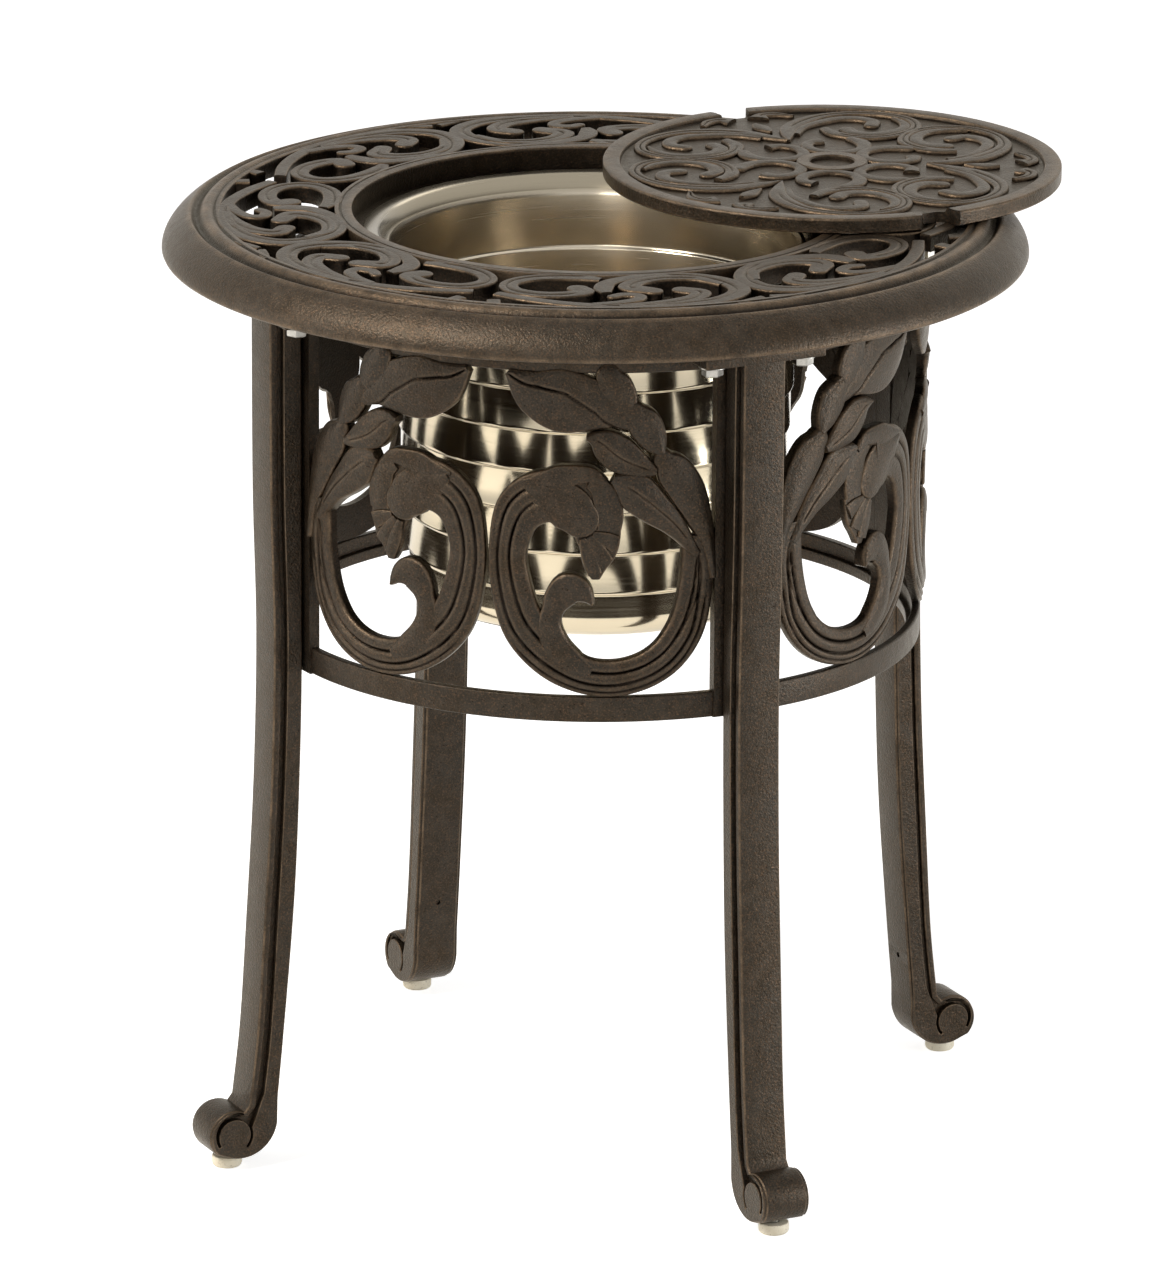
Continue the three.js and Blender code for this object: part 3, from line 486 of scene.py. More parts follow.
def polished_steel():
    """The bucket's outside: spun sheet with a slight wave."""
    finish = Finish("stainless_polished")
    cloud = finish.noise(9.0, 3.0, 0.55)
    streak = finish.noise(1.0, 3.0, 0.6, (5.0, 5.0, 600.0))
    colour = finish.mix(finish.between(cloud, 0.3, 0.7), (0.52, 0.45, 0.32), (0.60, 0.52, 0.38))
    wave = finish.bump(finish.noise(26.0, 2.0, 0.5, (1.0, 1.0, 0.35)), 0.22, 0.0016)
    finish.set(Base_Color=colour, Metallic=1.0, Roughness=finish.between(streak, 0.3, 0.7, 0.10, 0.16))
    finish.set(Normal=finish.bump(streak, 0.06, 0.00006, wave))
    return finish.material


def brushed_steel():
    """The bucket's inside: brushed round, with painted shade darkening its flange and the throat below it."""
    finish = Finish("stainless_brushed")
    cloud = finish.noise(9.0, 3.0, 0.55)
    streak = finish.noise(1.0, 4.0, 0.65, (7.0, 7.0, 950.0))
    colour = finish.mix(finish.between(cloud, 0.3, 0.7), (0.58, 0.51, 0.40), (0.66, 0.59, 0.47))
    colour = finish.mix(finish.between(streak, 0.4, 0.7, 0.0, 0.2), colour, (0.40, 0.35, 0.26))
    # Painted shade on the flange and the throat
    colour = finish.mix(finish.attribute("hollow"), colour, (0.30, 0.26, 0.19))
    finish.set(Base_Color=colour, Metallic=1.0, Roughness=finish.between(streak, 0.3, 0.7, 0.20, 0.28))
    round_z = finish.add("ShaderNodeTangent", direction_type="RADIAL", axis="Z").outputs["Tangent"]
    finish.set(Normal=finish.bump(streak, 0.05, 0.00006), Tangent=round_z)
    finish.set(Anisotropic=0.75, Anisotropic_Rotation=0.25)
    return finish.material


def zinc():
    finish = Finish("zinc_steel")
    spot = finish.noise(260.0, 3.0, 0.6)
    colour = finish.mix(finish.between(spot, 0.35, 0.65), (0.34, 0.33, 0.30), (0.46, 0.44, 0.40))
    fleck = finish.between(finish.noise(900.0, 2.0, 0.5), 0.62, 0.70, 0.0, 0.7)
    colour = finish.mix(fleck, colour, (0.30, 0.28, 0.25))
    finish.set(Base_Color=colour, Metallic=1.0, Roughness=finish.between(spot, 0.3, 0.7, 0.28, 0.42))
    finish.set(Normal=finish.bump(finish.noise(700.0, 2.0, 0.5), 0.2, 0.0002))
    return finish.material


def nylon():
    finish = Finish("nylon")
    cloud = finish.noise(120.0, 3.0, 0.5)
    colour = finish.mix(finish.between(cloud, 0.35, 0.65), (0.80, 0.72, 0.55), (0.88, 0.81, 0.65))
    soil = finish.between(finish.noise(600.0, 2.0, 0.6), 0.60, 0.70, 0.0, 0.5)
    colour = finish.mix(soil, colour, (0.34, 0.27, 0.17))
    finish.set(Base_Color=colour, Metallic=0.0, Roughness=finish.between(cloud, 0.3, 0.7, 0.42, 0.56))
    finish.set(Normal=finish.bump(finish.noise(1400.0, 2.0, 0.5), 0.15, 0.0002))
    return finish.material


BRONZE = bronze_coat()
STEEL_OUTSIDE = polished_steel()
STEEL_INSIDE = brushed_steel()
ZINC = zinc()
NYLON = nylon()


def linked(name, data):
    thing = bpy.data.objects.new(name, data)
    bpy.context.scene.collection.objects.link(thing)
    return thing


def as_object(name, part, scale=1.0):
    """An object of a solid, whose mesh also holds the wear and the painted shade that the materials read."""
    mesh = bpy.data.meshes.new(name)
    sizes = np.array([len(face) for face in part["faces"]], np.int32)
    corners = np.fromiter((k for face in part["faces"] for k in face), np.int32, int(sizes.sum()))
    mesh.vertices.add(len(part["points"]))
    mesh.vertices.foreach_set("co", (part["points"] * scale).astype(np.float32).ravel())
    mesh.loops.add(len(corners))
    mesh.loops.foreach_set("vertex_index", corners)
    mesh.polygons.add(len(sizes))
    mesh.polygons.foreach_set("loop_start", np.cumsum(sizes, dtype=np.int32) - sizes)
    mesh.update(calc_edges=True)
    for key in ("wear", "hollow"):
        layer = mesh.attributes.new(key, "FLOAT", "POINT")
        layer.data.foreach_set("value", part[key].astype(np.float32))
    return linked(name, mesh)


def piece(name, part, materials, body, slot, nodes, chosen=None, sharp=38):
    """Makes a visible piece; chosen gives each face its material where there are several."""
    thing = as_object(name, part, MM)
    mesh = thing.data
    for material in materials:
        mesh.materials.append(material)
    if chosen is not None:
        mesh.polygons.foreach_set("material_index", chosen)
    mesh.shade_smooth()
    mesh.set_sharp_from_angle(angle=math.radians(sharp))
    # End faces, which have more than four corners, are shaded flat
    mesh.polygons.foreach_set("use_smooth", np.array([len(face) for face in part["faces"]]) <= 4)
    mesh.update()
    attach(thing, body)
    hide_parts(*nodes)


def without(part, cutters):
    """The solid less the cutters, by booleans whose result is taken as a plain mesh."""
    blank, *tools = [as_object("shape", shape) for shape in (part, *cutters)]
    for tool in tools:
        cut = blank.modifiers.new("cut", "BOOLEAN")
        cut.object, cut.operation, cut.solver = tool, "DIFFERENCE", "EXACT"
    made = bpy.data.meshes.new_from_object(blank.evaluated_get(bpy.context.evaluated_depsgraph_get()))
    points = np.array([vertex.co[:] for vertex in made.vertices])
    faces = [tuple(polygon.vertices) for polygon in made.polygons]
    layers = [np.array([item.value for item in made.attributes[key].data]) for key in ("wear", "hollow")]
    meshes = [made] + [thing.data for thing in (blank, *tools)]
    for thing in (blank, *tools):
        bpy.data.objects.remove(thing)
    for mesh in meshes:
        bpy.data.meshes.remove(mesh)
    return solid(points, faces, *layers)


# Table top: rolled rim, border ring, bead, scroll field, inner strip, collar and bosses
def rim():
    crown, edge_height, sheet = TOP_RADIUS - 19, TOP - 27, 6
    t = np.linspace(0, 1, 22)[:, None]
    p0, p1, p2, p3 = np.array([
        [crown, TOP - 2.8], [crown + 8, TOP - 7], [TOP_RADIUS, TOP - 17], [TOP_RADIUS, edge_height]])
    roll = (1 - t)**3 * p0 + 3 * t * (1 - t)**2 * p1 + 3 * t**2 * (1 - t) * p2 + t**3 * p3
    way = np.gradient(roll, axis=0)
    way /= np.linalg.norm(way, axis=1)[:, None]
    under = (roll + np.column_stack([way[:, 1], -way[:, 0]]) * sheet)[::-1]
    # Third numbers are wear; fourth numbers are painted shade in the grooves and under the roll
    profile = from_corner(FIELD_OUTER, TOP, [
        (-4, SCROLL_BOTTOM - TOP, 0, 0.3), (-4, -0.9), (-3.7, -0.3, 0.9), (-3.1, 0, 0.9), (-0.4, 0),
        (0.3, -0.9, 0, 0.9), (1.1, -1.3, 0, 1), (1.9, -0.8, 0.2, 0.2), (3, -0.1, 0.7), (4.6, 0.25, 0.8),
        (6.4, 0.15, 0.9), (8.2, -0.6, 0.9), (9.6, -1.9, 0.4), (10.8, -3.5, 0, 0.5), (12.2, -5.2, 0, 1),
        (13.8, -5.6, 0, 1), (15.2, -4.9, 0, 0.9), (16.3, -3.6, 0.3, 0.2), (17.2, -2.85, 0.8),
    ])
    roll_wear = [0.9, 0.6, 0.35] + [0.12] * (len(roll) - 6) + [0.1, 0.3, 0.8]
    profile += [(*point, worn) for point, worn in zip(roll, roll_wear)]
    profile += from_corner(TOP_RADIUS, edge_height, [
        (-0.5, -1.2, 0.8), (-1.7, -1.9, 0.5), (-3.4, -2), (-5.2, -1.4), (-6, 0)])
    profile += [(*point, 0, 0.5) for point in under[1:-4]] + [(FIELD_OUTER + 7, SCROLL_BOTTOM, 0, 0.5)]
    return revolved(profile, 240)


def inner_strip():
    # Fourth numbers are painted shade down the collar's wall, in its groove and round the ledge below
    profile = from_corner(OPENING_RADIUS, TOP, [
        (0, LEDGE_TOP - TOP, 0, 0.6), (0, -2.2, 0, 0.45), (0, -0.9, 0.5), (0.3, -0.25, 0.9), (1, 0, 0.8),
        (7.2, 0), (7.8, -0.7, 0, 0.9), (8.6, -0.7, 0, 0.9), (9.1, 0, 0.6), (11.1, 0, 0.3), (11.8, -0.3, 0.9),
        (12, -1, 0.5),
    ])
    profile += from_corner(OPENING_RADIUS, SCROLL_BOTTOM, [(12, 1, 0, 0.3), (11.2, 0, 0, 0.6)])
    profile += from_corner(OPENING_RADIUS, LEDGE_TOP, [(6, -4.4, 0, 0.6), (5.2, -5, 0.2, 0.4)])
    profile += from_corner(LEDGE_INNER, LEDGE_TOP, [
        (1, -5, 0.2, 0.4), (0, -4, 0.3, 0.3), (0, -0.8, 0.4), (0.8, 0, 0.3)])
    return revolved([*profile, (OPENING_RADIUS - 0.6, LEDGE_TOP, 0, 0.8)], 220)


# Degrees from the middle of a quarter, 88ths of the field's width from its inner edge, and width in 88ths
FIELD_UNIT = (FIELD_OUTER - FIELD_INNER) / 88
FIELD_BANDS = [
    # places, round end, lines, lift
    ([(2, 60, 9), (8, 69, 10), (15, 77.5, 10), (22, 82, 11), (31, 82, 13), (38, 76, 15), (42.6, 60, 16),
      (43.2, 38, 16), (39.5, 15, 13), (32, 5, 10), (25, 10, 11), (20.7, 22, 13), (19.8, 36, 14),
      (20.2, 47, 8)],
     False, [([(0.26, -0.2), (0.34, -0.3), (0.5, -0.3), (0.66, -0.25), (0.76, -0.1)], 0.9, 1.2)], 0.0),
    ([(19.4, 12, 8), (15, 7, 14), (10, 8, 14), (5.4, 14, 14), (2.6, 26, 13.5), (2.5, 38, 13.5),
      (4.6, 49, 13.5), (8.8, 54.5, 13.5), (13.4, 52, 14), (16.4, 44, 15), (15.2, 36, 16)],
     True, [([(0.10, 0.25), (0.3, 0.2), (0.6, 0.2), (0.86, 0.1)], 0.9, 1.2)], -0.12),
    ([(41.5, 40, 6), (38.5, 20, 10), (31.5, 13.5, 12), (26.2, 22, 15), (24.8, 34, 17), (28.5, 44.5, 14)],
     True, [([(0.25, -0.1), (0.6, -0.1), (0.85, 0.0)], 0.9, 1.1)], 0.12),
    ([(22, 81, 8), (29, 76, 14), (34.4, 66, 15), (36.2, 54, 15), (33.6, 44.5, 14)],
     True, [([(0.22, 0.1), (0.6, 0.1), (0.85, 0.0)], 0.9, 1.1)], -0.2),
    ([(18, 78, 8), (22.5, 72, 9), (25.4, 64, 9.5), (25.6, 56, 9.5), (23, 52.5, 9), (21.2, 57, 8)],
     True, [], 0.08),
    ([(3.4, 86, 9), (2.6, 76, 10)], False, [], -0.28),
    ([(44.4, 80, 6), (42.2, 84, 8), (39.5, 88, 5)], False, [], -0.35),
]


def field_quarter():
    parts = []
    for places, round_end, lines, lift in FIELD_BANDS:
        path = []
        for degrees, across, width in places:
            r = FIELD_INNER + across * FIELD_UNIT
            angle = math.radians(degrees - 90)
            path.append((r * math.cos(angle), r * math.sin(angle), width * FIELD_UNIT))
        scroll = ribbon(path, SCROLL_BOTTOM, TOP - 0.15, edge=1.0, crown=0.25, lines=lines, pitch=1.2,
                        round_end=round_end, lift=lift)
        parts += both_sides(scroll)
    return together(parts)


def bosses():
    part = block(LEG_REAR - 2.5, FIELD_OUTER, -48, 48, LEG_TOP + 0.3, SCROLL_BOTTOM + 2, 2.0)
    return together([turned(part, 45 + 90 * k) for k in range(4)])


quarter = field_quarter()
ring = together([rim(), inner_strip(), bosses()] + [turned(quarter, 90 * k) for k in range(4)])
piece("top_casting", ring, [BRONZE], "table_frame", "bronze_coat", ["table_top"])


# Lid: a cast disc with scroll relief and two finger notches
LID_UNIT = LID_RADIUS / 160
LID_FIELD = LID_TOP - 3.2
LID_BANDS = [
    # places, round end, lift
    ([(0.6, 66, 2), (7, 80, 9), (18, 98, 14), (36, 112, 14), (58, 119, 11), (82, 114, 9), (100, 99, 8.5),
      (106, 80, 8.5), (98, 60, 8.5), (80, 49, 8.5), (62, 48, 9), (47, 57, 10), (39, 71, 11), (39, 86, 8)],
     False, 0.0),
    ([(21, 56, 12), (12.5, 56, 10), (5.6, 48.5, 9.5), (4.2, 38, 9.5), (9, 26.5, 9.5), (20, 20.3, 9.5),
      (33, 22, 10), (42, 31, 11), (45, 42, 12), (43, 52, 9)], True, -0.1),
    ([(14, 80, 5), (27, 95, 7), (45, 104, 9), (62, 107, 10), (75, 101, 11), (80, 90, 11), (74, 81, 11)],
     True, -0.2),
    ([(97, 92, 3), (98, 78, 7), (92, 65, 9), (78, 57, 10), (63, 58, 11), (53, 67, 12), (53, 78, 12)],
     True, -0.25),
    ([(10.6, 132, 16), (17, 139, 10), (27, 137, 9), (36, 127, 4)], False, -0.15),
]
LID_DROP = [(0, 92, 2), (0.5, 100, 9), (0, 108, 12), (0, 117, 5)]


def lid_plate():
    # Fourth numbers are painted shade round the edge and over the sunk field, darkest at its outer edge
    underside = from_corner(LID_RADIUS, LID_BOTTOM, [
        (-2, 0, 0, 0.2), (-0.7, 0.3, 0.5), (0, 1.1, 0.9), (0, 2, 0.2, 0.2)])
    border = from_corner(LID_RADIUS, LID_TOP, [
        (0, -2, 0.1, 0.2), (0, -1.1, 0.7), (-0.5, -0.3, 0.9), (-1.3, 0, 0.6), (-10.8, 0, 0.2),
        (-11.7, -0.4, 0.9), (-12.1, -1.2, 0.4)])
    field = from_corner(LID_RADIUS, LID_FIELD, [
        (-12.6, 0.5, 0, 0.7), (-13.5, 0, 0, 0.9), (-16, 0, 0, 0.3), (-60, 0, 0, 0.15)])
    return revolved([(0, LID_BOTTOM), *underside, *border, *field, (0, LID_FIELD, 0, 0.15)], 220)


def lid_relief():
    low, high = LID_FIELD - 1.5, LID_TOP - 1.0
    inner, outer = (20.2 - 9.5 / 2) * LID_UNIT, (20.2 + 9.5 / 2) * LID_UNIT
    middle_ring = revolved([
        (inner, low), (inner, high, 0.3), (inner + 0.9, LID_TOP, 0.4),
        (outer - 0.9, LID_TOP, 0.4), (outer, high, 0.3), (outer, low),
    ], 72)
    third = []
    for places, round_end, lift in LID_BANDS:
        path = [tuple(value * LID_UNIT for value in place) for place in places]
        widest = max(width for _, _, width in places)
        line = [([(0.16, 0.1), (0.5, 0.05), (0.9, 0.0)], 0.8, 1.5)] if widest > 12 else []
        third += both_sides(ribbon(path, low, high, edge=1.3, crown=0.85, lines=line, step=1.7, pitch=0.9,
                                   round_end=round_end, lift=lift))
    drop = [tuple(value * LID_UNIT for value in place) for place in LID_DROP]
    third.append(ribbon(drop, low, high, edge=1.2, crown=0.8, step=1.5))
    return [middle_ring] + [turned(together(third), 120 * k) for k in range(3)]


def notch(degrees):
    """The shape of a finger notch, which flares out to the lid's edge."""
    half, deep, flare = 12, LID_RADIUS - 16, 5
    right = [(half * 0.6, deep), (half, deep + flare), (half, LID_RADIUS - flare),
             (half + flare, LID_RADIUS + 2)]
    outline = rounded(right + [(-x, y) for x, y in reversed(right)], [3, 3, 4, 0, 0, 4, 3, 3], 5)
    points = [(x, y, z) for z in (LID_BOTTOM - 2, LID_TOP + 2) for x, y in outline]
    return facing_out(turned(solid(points, capped_tube(2, len(outline))), degrees))


def lid():
    disc = without(lid_plate(), [notch(0), notch(180)])
    placed = moved(turned(together([disc, *lid_relief()]), 45), LID_MIDDLE[0], LID_MIDDLE[1], 0)
    piece("lid_casting", placed, [BRONZE], "lid_body", "bronze_coat", ["lid"])


lid()


# Ice bucket: spun sheet with a rolled flange, beads round its wall and a round bottom corner
def bucket_beads(first, pitch, wall, inward, count):
    """The outline of the beads round the wall, from the lowest to the highest."""
    beads = []
    for k in range(count - 1, -1, -1):
        z, r = first - k * pitch, wall - k * inward
        low = r - inward
        beads += from_corner(low, z, [
            (0, -2.4), (0.1, -1.9), (0.7, -1.4), (1.5, -0.9), (2.0, -0.2), (2.1, 0.5)])
        beads += [(r + 0.2, z + 1.2), (r, z + 1.9)]
    return beads


def bucket():
    flange, mouth, wall, base = OPENING_RADIUS - 7.5, LEDGE_INNER - 8, LEDGE_INNER - 12, LEDGE_INNER - 26
    sheet, corner, steps, segments = 1.4, 17, 7, 220
    raised_floor = [(0, 3), (30, 3), (60, 2.4), (66, 1), (70, 0), (base - corner, 0)]
    first, last = BUCKET_TOP - 50, BUCKET_BOTTOM + 2 * corner
    beads = bucket_beads(first, (first - last) / (steps - 1), wall, (wall - base) / steps, steps)
    heel = (base - corner, BUCKET_BOTTOM + corner)
    under = BUCKET_TOP - sheet
    throat = under - 8.5
    outside = [*from_corner(0, BUCKET_BOTTOM, raised_floor), *arc(*heel, corner, -80, 0, 9), *beads]
    outside += from_corner(wall, throat, [(0, -4), (0.6, -2.6)])
    outside += from_corner(mouth, throat, [(-0.8, -1), (0.4, 0.6)])
    outside += from_corner(flange, under, [
        (-12, -1.6), (-9.6, -0.3), (-7.6, 0), (-0.9, 0), (-0.2, 0.3), (0, 0.8)])
    # Fourth numbers are painted shade, darkening the flange and the throat below it
    inside = from_corner(flange, BUCKET_TOP, [
        (-0.2, -0.3, 0, 0.9), (-0.8, 0, 0, 0.9), (-8.4, 0, 0, 0.9), (-10.2, -0.5, 0, 0.9),
        (-12.2, -1.9, 0, 0.9)])
    inside += from_corner(mouth, throat, [(-0.9, 1.4, 0, 0.9), (-1.5, -0.2, 0, 1), (-3.6, 0.4, 0, 0.7)])
    inside += from_corner(wall, throat, [(-0.8, -2.0, 0, 0.4), (-sheet, -4.4)])
    inside += [(r - sheet - 0.15, z - 0.5) for r, z in reversed(beads)]
    inside += [*arc(*heel, corner - sheet - 0.6, 0, -80, 9)]
    inside += from_corner(0, BUCKET_BOTTOM + sheet, raised_floor[::-1])
    made = revolved(outside + inside, segments)
    # Faces of the outside end before the inside's points, but for those round the middle of the underside
    split, under_middle = (len(outside) - 1) * segments, len(made["points"]) - 2
    chosen = [0 if max(face) < split or max(face) == under_middle else 1 for face in made["faces"]]
    piece("bucket_sheet", made, [STEEL_OUTSIDE, STEEL_INSIDE], "ice_bucket_body", "stainless", ["ice_bucket"],
          chosen, 50)


bucket()


# Aprons: openwork panels drawn flat, then bent round the table
ACROSS = APRON_HALF / 180
SCROLL_BACK, SCROLL_FRONT = 0.6, 7.4
END_BAR = 23
BAND_LINES = [
    ([(0.035, 0.45), (0.1, 0.48), (0.35, 0.5), (0.5, 0.36), (0.8, 0.3), (0.93, 0.05)], 1.2, 2.4),
    ([(0.075, -0.1), (0.15, -0.12), (0.35, -0.16), (0.5, -0.33), (0.8, -0.3), (0.93, -0.1)], 1.2, 2.4),
    ([(0.42, 0.8), (0.5, 0.74), (0.75, 0.7), (0.85, 0.6)], 1.0, 1.6),
]
APRON_BANDS = [
    # places; edge, crown and lift; other settings: the scroll, the sunk bed of its head, the tongue
    ([(60, 158, 38), (38, 158, 37), (23, 148, 34), (14.5, 121, 27), (17, 93, 29), (27, 65, 32),
      (46, 45, 31), (66, 33.5, 26), (88, 31, 25.5), (108, 35.5, 25.5), (123, 44.5, 26),
      (133.5, 57, 26.5), (140, 71, 26), (145, 98, 24), (146, 130, 24)],
     (2.2, 1.6, 0.0), {"lines": BAND_LINES}),
    ([(44, 160, 34), (60, 156, 42), (73, 144, 36), (77, 126, 29), (75, 112, 19), (75, 101, 6)],
     (1.2, 0.4, -1.9), {}),
    ([(72, 36, 10), (60, 42, 18), (50, 51, 20), (45, 62, 18), (44, 71, 16), (46, 79, 15.5), (49.5, 87, 20),
      (56.5, 94, 23), (64, 93, 19), (70.5, 88, 9), (72.8, 84, 3)],
     (1.8, 2.2, 0.2), {}),
    # the head: cheek, brow, nape and the three feathers of its beak
    ([(64, 144, 27), (59, 149, 32), (50, 156, 31), (38, 161, 20), (28, 167, 7)],
     (1.3, 1.7, 0.2), {"round_start": True}),
    ([(26, 169, 4), (38, 170.5, 11), (50, 172, 17.5), (62, 174.5, 13.5), (72, 174.3, 11), (82, 168.5, 5)],
     (1.2, 1.6, 0.1), {}),
    ([(70, 169, 8), (77.5, 164.5, 15.5), (82, 157, 19), (84.3, 146, 19), (84, 136, 16.5)],
     (1.1, 1.4, -0.5), {}),
    ([(73, 133, 5), (82, 129.5, 10.5), (89, 126, 12.5)], (0.9, 0.9, -0.7), {}),
    ([(70, 131, 6), (76.5, 121.5, 11), (81.5, 112.5, 12.5)], (0.9, 0.9, -0.45), {}),
    ([(66, 130, 5), (70.2, 118, 10.5), (74.5, 105, 9.5)], (0.9, 0.9, -0.2), {}),
    # leaves and lobes, from the top downwards
    ([(104, 206, 6), (88, 217, 22), (70, 223, 38), (50, 226, 44), (33, 231, 34), (14, 244, 6)],
     (1.4, 2.4, -0.5), {"lines": [
         ([(0.16, -0.95), (0.34, -0.2), (0.55, 0.27), (0.77, 0.3), (0.88, 0.12), (0.97, 0)], 0.9, 1.9)]}),
    ([(101, 216, 8), (93, 225, 22), (87, 236, 24), (83, 243, 18)],
     (1.4, 2.8, -0.4), {"bead": 0.3, "round_end": True}),
    ([(119, 189, 7), (114, 198, 19), (107, 210, 23.5), (100.5, 218, 16)],
     (1.4, 3.0, 0.1), {"bead": 0.3, "round_end": True}),
    ([(115, 176.5, 7), (105, 180.5, 17), (91.5, 188, 25.5), (81, 196, 22), (73.8, 200, 12),
      (68, 200.8, 4)],
     (1.3, 2.8, 0.0), {"bead": 0.3, "lines": [([(0.12, 0.0), (0.5, -0.1), (0.85, 0.0)], 0.7, 0.9)]}),
    ([(144, 117, 8), (136.5, 127.7, 11.3), (126, 140.3, 17.5), (113.5, 151.4, 24),
      (101.8, 162.2, 27.5), (93, 168.5, 17), (86, 172.5, 7)],
     (1.3, 3.0, 0.3), {"bead": 0.3, "lines": [([(0.2, 0.1), (0.55, 0.12), (0.85, 0.0)], 0.7, 0.9)]}),
    ([(155.5, 100, 5), (152, 124, 10.5), (146, 142, 18.5), (136.7, 162.7, 25.5), (127, 177, 24.5),
      (120.5, 184.5, 15)],
     (1.4, 3.0, 0.5), {"bead": 0.3, "round_end": True}),
]
CARVED = [
    # polyline on the flat drawing, width, depth
    ([(135, 122), (133.2, 99.8), (127.5, 79), (119.5, 58.3)], 0.8, 0.8),
    ([(146, 116), (148, 99.1), (141.5, 78.4), (131, 60)], 0.8, 1.0),
]


def carve(part, lines, level):
    """Sinks grooves along lines of the flat drawing into every point near the front."""
    points = part["points"].copy()
    hollow = part["hollow"].copy()
    near = points[:, 2] > level
    for polyline, width, depth in lines:
        track = smooth_curve(polyline, 8)
        place = np.column_stack([np.abs(points[near, 0]), points[near, 1]])
        best = np.full(len(place), np.inf)
        for a, b in zip(track[:-1], track[1:]):
            along = np.clip(((place - a) @ (b - a)) / max(float((b - a) @ (b - a)), 1e-9), 0, 1)
            best = np.minimum(best, np.linalg.norm(place - a - along[:, None] * (b - a), axis=1))
        points[near, 2] -= depth * np.exp(-best / width)
        # Painted shade down each carved groove
        hollow[near] = np.maximum(hollow[near], np.exp(-(best / (0.8 * width))**2))
    return {**part, "points": points, "hollow": hollow}


def bent(part):
    def change(p):
        angle = p[:, 0] / APRON_OUTER - math.pi / 2
        r = APRON_INNER + p[:, 2]
        return np.column_stack([r * np.cos(angle), r * np.sin(angle), APRON_BOTTOM + p[:, 1]])

    return mapped(part, change)


def apron_casting():
    parts = []
    for places, (edge, crown, lift), settings in APRON_BANDS:
        path = [(x * ACROSS, y, width) for x, y, width in places]
        scroll = ribbon(path, SCROLL_BACK, SCROLL_FRONT, edge, crown, lift=lift, pitch=1.0, **settings)
        parts += both_sides(scroll)
    scrolls = facing_out(bent(carve(together(parts), CARVED, 5.0)))
    front, inner = APRON_OUTER - 2, APRON_INNER
    low, high = APRON_BOTTOM, APRON_TOP
    bottom_rail = rounded([
        (inner - 4, low), (front, low), (front, low + 18), (inner, low + 18), (inner, low + 8),
        (inner - 4, low + 8)], [1, 1.4, 1.4, 1, 0.5, 1])
    top_rail = rounded([(inner, high - 10), (front, high - 10), (front, high), (inner, high)], 1.2)
    end_bar = rounded([(inner, low), (APRON_OUTER, low), (APRON_OUTER, high), (inner, high)], 1.0)
    bar_inner = APRON_HALF - END_BAR
    bars = [
        arc_bar(bottom_rail, -APRON_HALF, APRON_HALF, 64),
        arc_bar(top_rail, -APRON_HALF, APRON_HALF, 64),
        arc_bar(end_bar, -APRON_HALF, -bar_inner, 8),
        arc_bar(end_bar, bar_inner, APRON_HALF, 8),
    ]
    return together([scrolls, *bars])


apron_made = apron_casting()
for k, side in enumerate(SIDES):
    node = f"apron_{side}"
    piece(f"{node}_casting", turned(apron_made, 90 * k), [BRONZE], "table_frame", "bronze_coat", [node])


# Legs: moulded bars with a strip round their edge, a raised rib on both sides and a rolled scroll foot
# Shares of the leg's height and, outwards from its rear, of its reach
FACE = [(1, 0.338), (0.78, 0.332), (0.616, 0.3), (0.446, 0.334), (0.281, 0.417), (0.154, 0.493),
        (0.076, 0.575)]
REAR = [(0.072, 0.276), (0.15, 0.208), (0.325, 0.077), (0.489, 0.016), (0.58, 0), (0.66, 0), (1, 0)]
ROLL, DISC, HEEL_ROUND = 18, 12, 27.5
EYE = (LEG_REACH - ROLL, 26.5)
HEEL = (LEG_REACH - 24, 36)
PAD_AT = LEG_REACH - 19.5
BOLT_AT = LEG_REAR + 12.5
CORE_HALF, STRIP_HALF, RIB_HALF = 12.6, 15.5, 17.5
WEEP_RADIUS, WEEP_HEIGHT = 2, 76


def leg_line(shares):
    points = [(LEG_REAR + out * (LEG_REACH - LEG_REAR), up * LEG_TOP) for up, out in shares]
    return evenly(smooth_curve(points, 30), 4)


def spiral(radius_from, radius_to, start, end, steps):
    """Part of a spiral round the foot's eye."""
    angles = np.radians(np.linspace(start, end, steps + 1))
    radii = np.linspace(radius_from, radius_to, steps + 1)
    return np.column_stack([EYE[0] + radii * np.cos(angles), EYE[1] + radii * np.sin(angles)])


